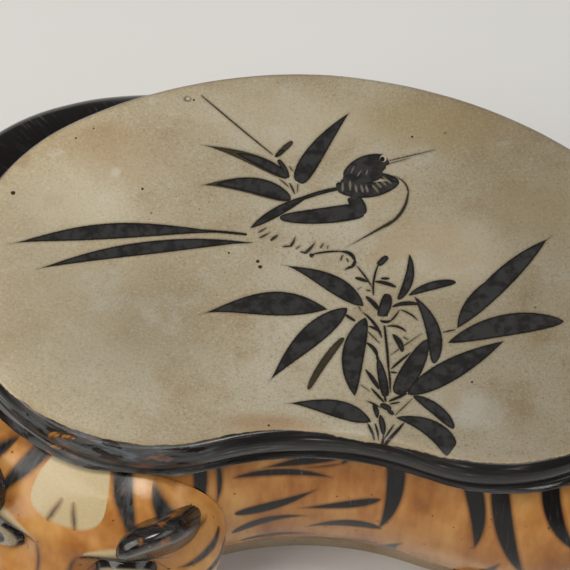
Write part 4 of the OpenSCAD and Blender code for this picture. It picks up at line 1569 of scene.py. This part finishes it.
@dataclass
class Limbs:
    """Paws at the foot of the wall, and the tail round the rump."""

    outline: Outline
    paw_at: dict[str, Spot] = field(default_factory=lambda: {
        "left_forepaw": (147.3, 9.5),
        "right_forepaw": (81.3, 9.5),
        "front_hind_paw": (296.8, 11.5),
        "back_hind_paw": (466.8, 11.5),
    })
    toe_top: float = 20.0
    toe_low: float = 1.0
    toe_w: float = 2.4
    toe_bow: float = 0.4
    cuff_z: float = 23.0
    cuff_w: float = 3.6
    cuff_toes: float = 1.7
    rump_end: float = 409.2
    tail_start: float = -34.0
    tail_run: float = 74.0
    tail_low: float = 26.0
    tail_rise: float = 46.0
    tail_length: float = 110.0
    tail_swing: float = 118.0
    tail_turn: float = 150.0
    tail_steps: int = 240
    ring_pitch: float = 15.0
    ring_middle: float = 30.0
    ring_first: float = 6.0
    ring_lean: float = 2.0
    ring_low: float = 15.0
    ring_high: float = 50.0
    ring_w: float = 7.0
    glaze_foot: float = -12.0

    def build(self) -> dict[str, Object]:
        """Models the paws and the tail.

        Returns:
            The pieces by the names of their solids.
        """
        pieces = {}
        for name, (near, _) in self.paw_at.items():
            pieces[name] = ClayPiece(name, Slot.AMBER, uneven=0.3).build()
            wall_lay(pieces[name], self.outline, near)
        pieces["tail"] = ClayPiece("tail", Slot.AMBER, uneven=0.3).build()
        self.measure_tail(pieces["tail"])
        return pieces

    def measure_tail(self, piece: Object) -> None:
        """Stores the length along the tail on each of its points.

        Args:
            piece: The tail.
        """
        path = KDTree(self.tail_steps + 1)
        swing, turn = math.radians(self.tail_swing), math.radians(self.tail_turn)
        for i in range(self.tail_steps + 1):
            share = i / self.tail_steps
            along = self.rump_end + self.tail_start + self.tail_run * math.sin(swing * share)
            up = self.tail_low + self.tail_rise * (1 - math.cos(turn * share)) / (1 - math.cos(turn))
            path.insert((along, up, 0.0), i)
        path.balance()
        spots = [v.co / MM for v in piece.data.vertices]
        rows = []
        for spot, (along, out) in zip(spots, self.outline.survey(spots)):
            _, i, away = path.find((along, spot.z, 0.0))
            rows.append((self.tail_length * i / self.tail_steps, self.ring_middle + away, out))
        write_lay(piece, rows)

    def dress(self, pieces: dict[str, Object]) -> None:
        """Glazes the paws with dark toe lines and the tail with dark rings.

        Args:
            pieces: The pieces by the names of their solids.
        """
        for name, (near, toe) in self.paw_at.items():
            lines = []
            for i in (-1, 0, 1):
                ends = (near + toe * i, self.toe_top), (near + toe * i, self.toe_low)
                lines.append(Stroke(*ends, self.toe_w, self.toe_bow * i, 0.4, 0.3))
            reach = self.cuff_toes * toe
            ends = (near - reach, self.cuff_z), (near + reach, self.cuff_z)
            lines.append(Stroke(*ends, self.cuff_w, 0.0, 0.5, 0.5))
            glaze = AmberGlaze(f"amber_{name}", foot=self.glaze_foot)
            pieces[name].data.materials.append(glaze.material(lines))
        rings = []
        for i in range(int(self.tail_length / self.ring_pitch) + 1):
            x = self.ring_pitch * i + self.ring_first
            ends = (x, self.ring_low), (x + self.ring_lean, self.ring_high)
            rings.append(Stroke(*ends, self.ring_w, 0.0, 0.1, 0.1))
        pieces["tail"].data.materials.append(AmberGlaze("amber_tail", foot=self.glaze_foot).material(rings))


@dataclass
class Luting:
    """Coils and strips of clay inside the closed body."""

    nodes: tuple[str, ...] = ("base_coil", "headrest_coil", "head_end_strip", "rump_end_strip")

    def dress(self) -> None:
        """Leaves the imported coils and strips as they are, in bare clay."""
        material = BareClay("bare_luting").material()
        for name in self.nodes:
            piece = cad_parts[name]
            piece.data.materials.clear()
            piece.data.materials.append(material)
            LOG.info("%s: packed solid in bare clay", name)


@dataclass
class Studio:
    """Pale floor, soft lamps and the camera."""

    elevation: float = 57.0
    azimuth: float = 5.5
    distance: float = 0.8
    target: Point = (-0.0177, -0.0044, 0.11777)
    pixels_per_mm: float = 2.39
    image: int = 570
    sensor: float = 36.0
    floor_size: float = 8.0
    floor_colour: Colour = (0.74, 0.735, 0.72)
    floor_rough: float = 0.9
    floor_gloss: float = 0.1
    sky_colour: Colour = (0.93, 0.96, 1.0)
    sky_strength: float = 0.14
    aim: Point = (0.0, 0.0, 0.06)
    nearest: float = 0.01
    farthest: float = 50.0

    def floor(self) -> None:
        """Lays a plain pale floor under the base."""
        bpy.ops.object.select_all(action="DESELECT")
        bpy.ops.mesh.primitive_plane_add(size=self.floor_size, location=(0.0, 0.0, 0.0))
        floor = bpy.context.object
        floor.name = "studio_floor"
        material = bpy.data.materials.new("studio_floor")
        material.use_nodes = True
        shader = material.node_tree.nodes["Principled BSDF"]
        shader.inputs["Base Color"].default_value = (*self.floor_colour, 1.0)
        shader.inputs["Roughness"].default_value = self.floor_rough
        shader.inputs["Specular IOR Level"].default_value = self.floor_gloss
        floor.data.materials.append(material)

    def lamp(self, name: str, place: Point, size: float, power: float, colour: Colour) -> None:
        """Hangs a square soft lamp that faces the pillow.

        Args:
            name: The lamp's name.
            place: Where it hangs, in metres.
            size: Its side in metres.
            power: Its power in watts.
            colour: Its colour.
        """
        data = bpy.data.lights.new(name, "AREA")
        data.size = size
        data.energy = power
        data.color = colour
        lamp = bpy.data.objects.new(name, data)
        lamp.location = place
        lamp.rotation_euler = (Vector(place) - Vector(self.aim)).to_track_quat("Z", "Y").to_euler()
        bpy.context.scene.collection.objects.link(lamp)

    def light(self) -> None:
        """Sets an even sky and three soft lamps."""
        world = bpy.data.worlds.new("studio_sky")
        world.use_nodes = True
        sky = world.node_tree.nodes["Background"]
        sky.inputs["Color"].default_value = (*self.sky_colour, 1.0)
        sky.inputs["Strength"].default_value = self.sky_strength
        bpy.context.scene.world = world
        self.lamp("key", (-0.85, -0.40, 1.10), 1.1, 14.5, (1.0, 0.96, 0.90))
        self.lamp("fill", (0.95, -0.45, 0.85), 0.8, 4.0, (0.95, 0.97, 1.0))
        self.lamp("top", (0.157, -0.057, 1.40), 0.36, 6.5, (1.0, 0.98, 0.93))

    def camera(self) -> None:
        """Stands the camera over the front of the headrest, a little to the right."""
        a, e = math.radians(self.azimuth), math.radians(self.elevation)
        back = Vector((math.sin(a) * math.cos(e), -math.cos(a) * math.cos(e), math.sin(e)))
        data = bpy.data.cameras.new("camera")
        data.sensor_width = self.sensor
        data.lens = self.sensor * self.pixels_per_mm * self.distance / MM / self.image
        data.clip_start = self.nearest
        data.clip_end = self.farthest
        camera = bpy.data.objects.new("camera", data)
        camera.location = Vector(self.target) + back * self.distance
        camera.rotation_euler = back.to_track_quat("Z", "Y").to_euler()
        bpy.context.scene.collection.objects.link(camera)
        bpy.context.scene.camera = camera

    def build(self) -> None:
        """Sets up floor, light, camera and the view transform."""
        self.floor()
        self.light()
        self.camera()
        bpy.context.scene.view_settings.view_transform = "Standard"


def main() -> None:
    """Builds and dresses the pillow piece by piece, then the studio."""
    logging.basicConfig(level=logging.INFO, format="%(name)s: %(message)s")
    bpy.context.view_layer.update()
    outline = Outline()
    headrest = Headrest(outline)
    headrest.dress(headrest.build())
    for part in (Body(outline), Head(outline), Limbs(outline)):
        part.dress(part.build())
    Luting().dress()
    Studio().build()


if __name__ == "__main__":
    main()
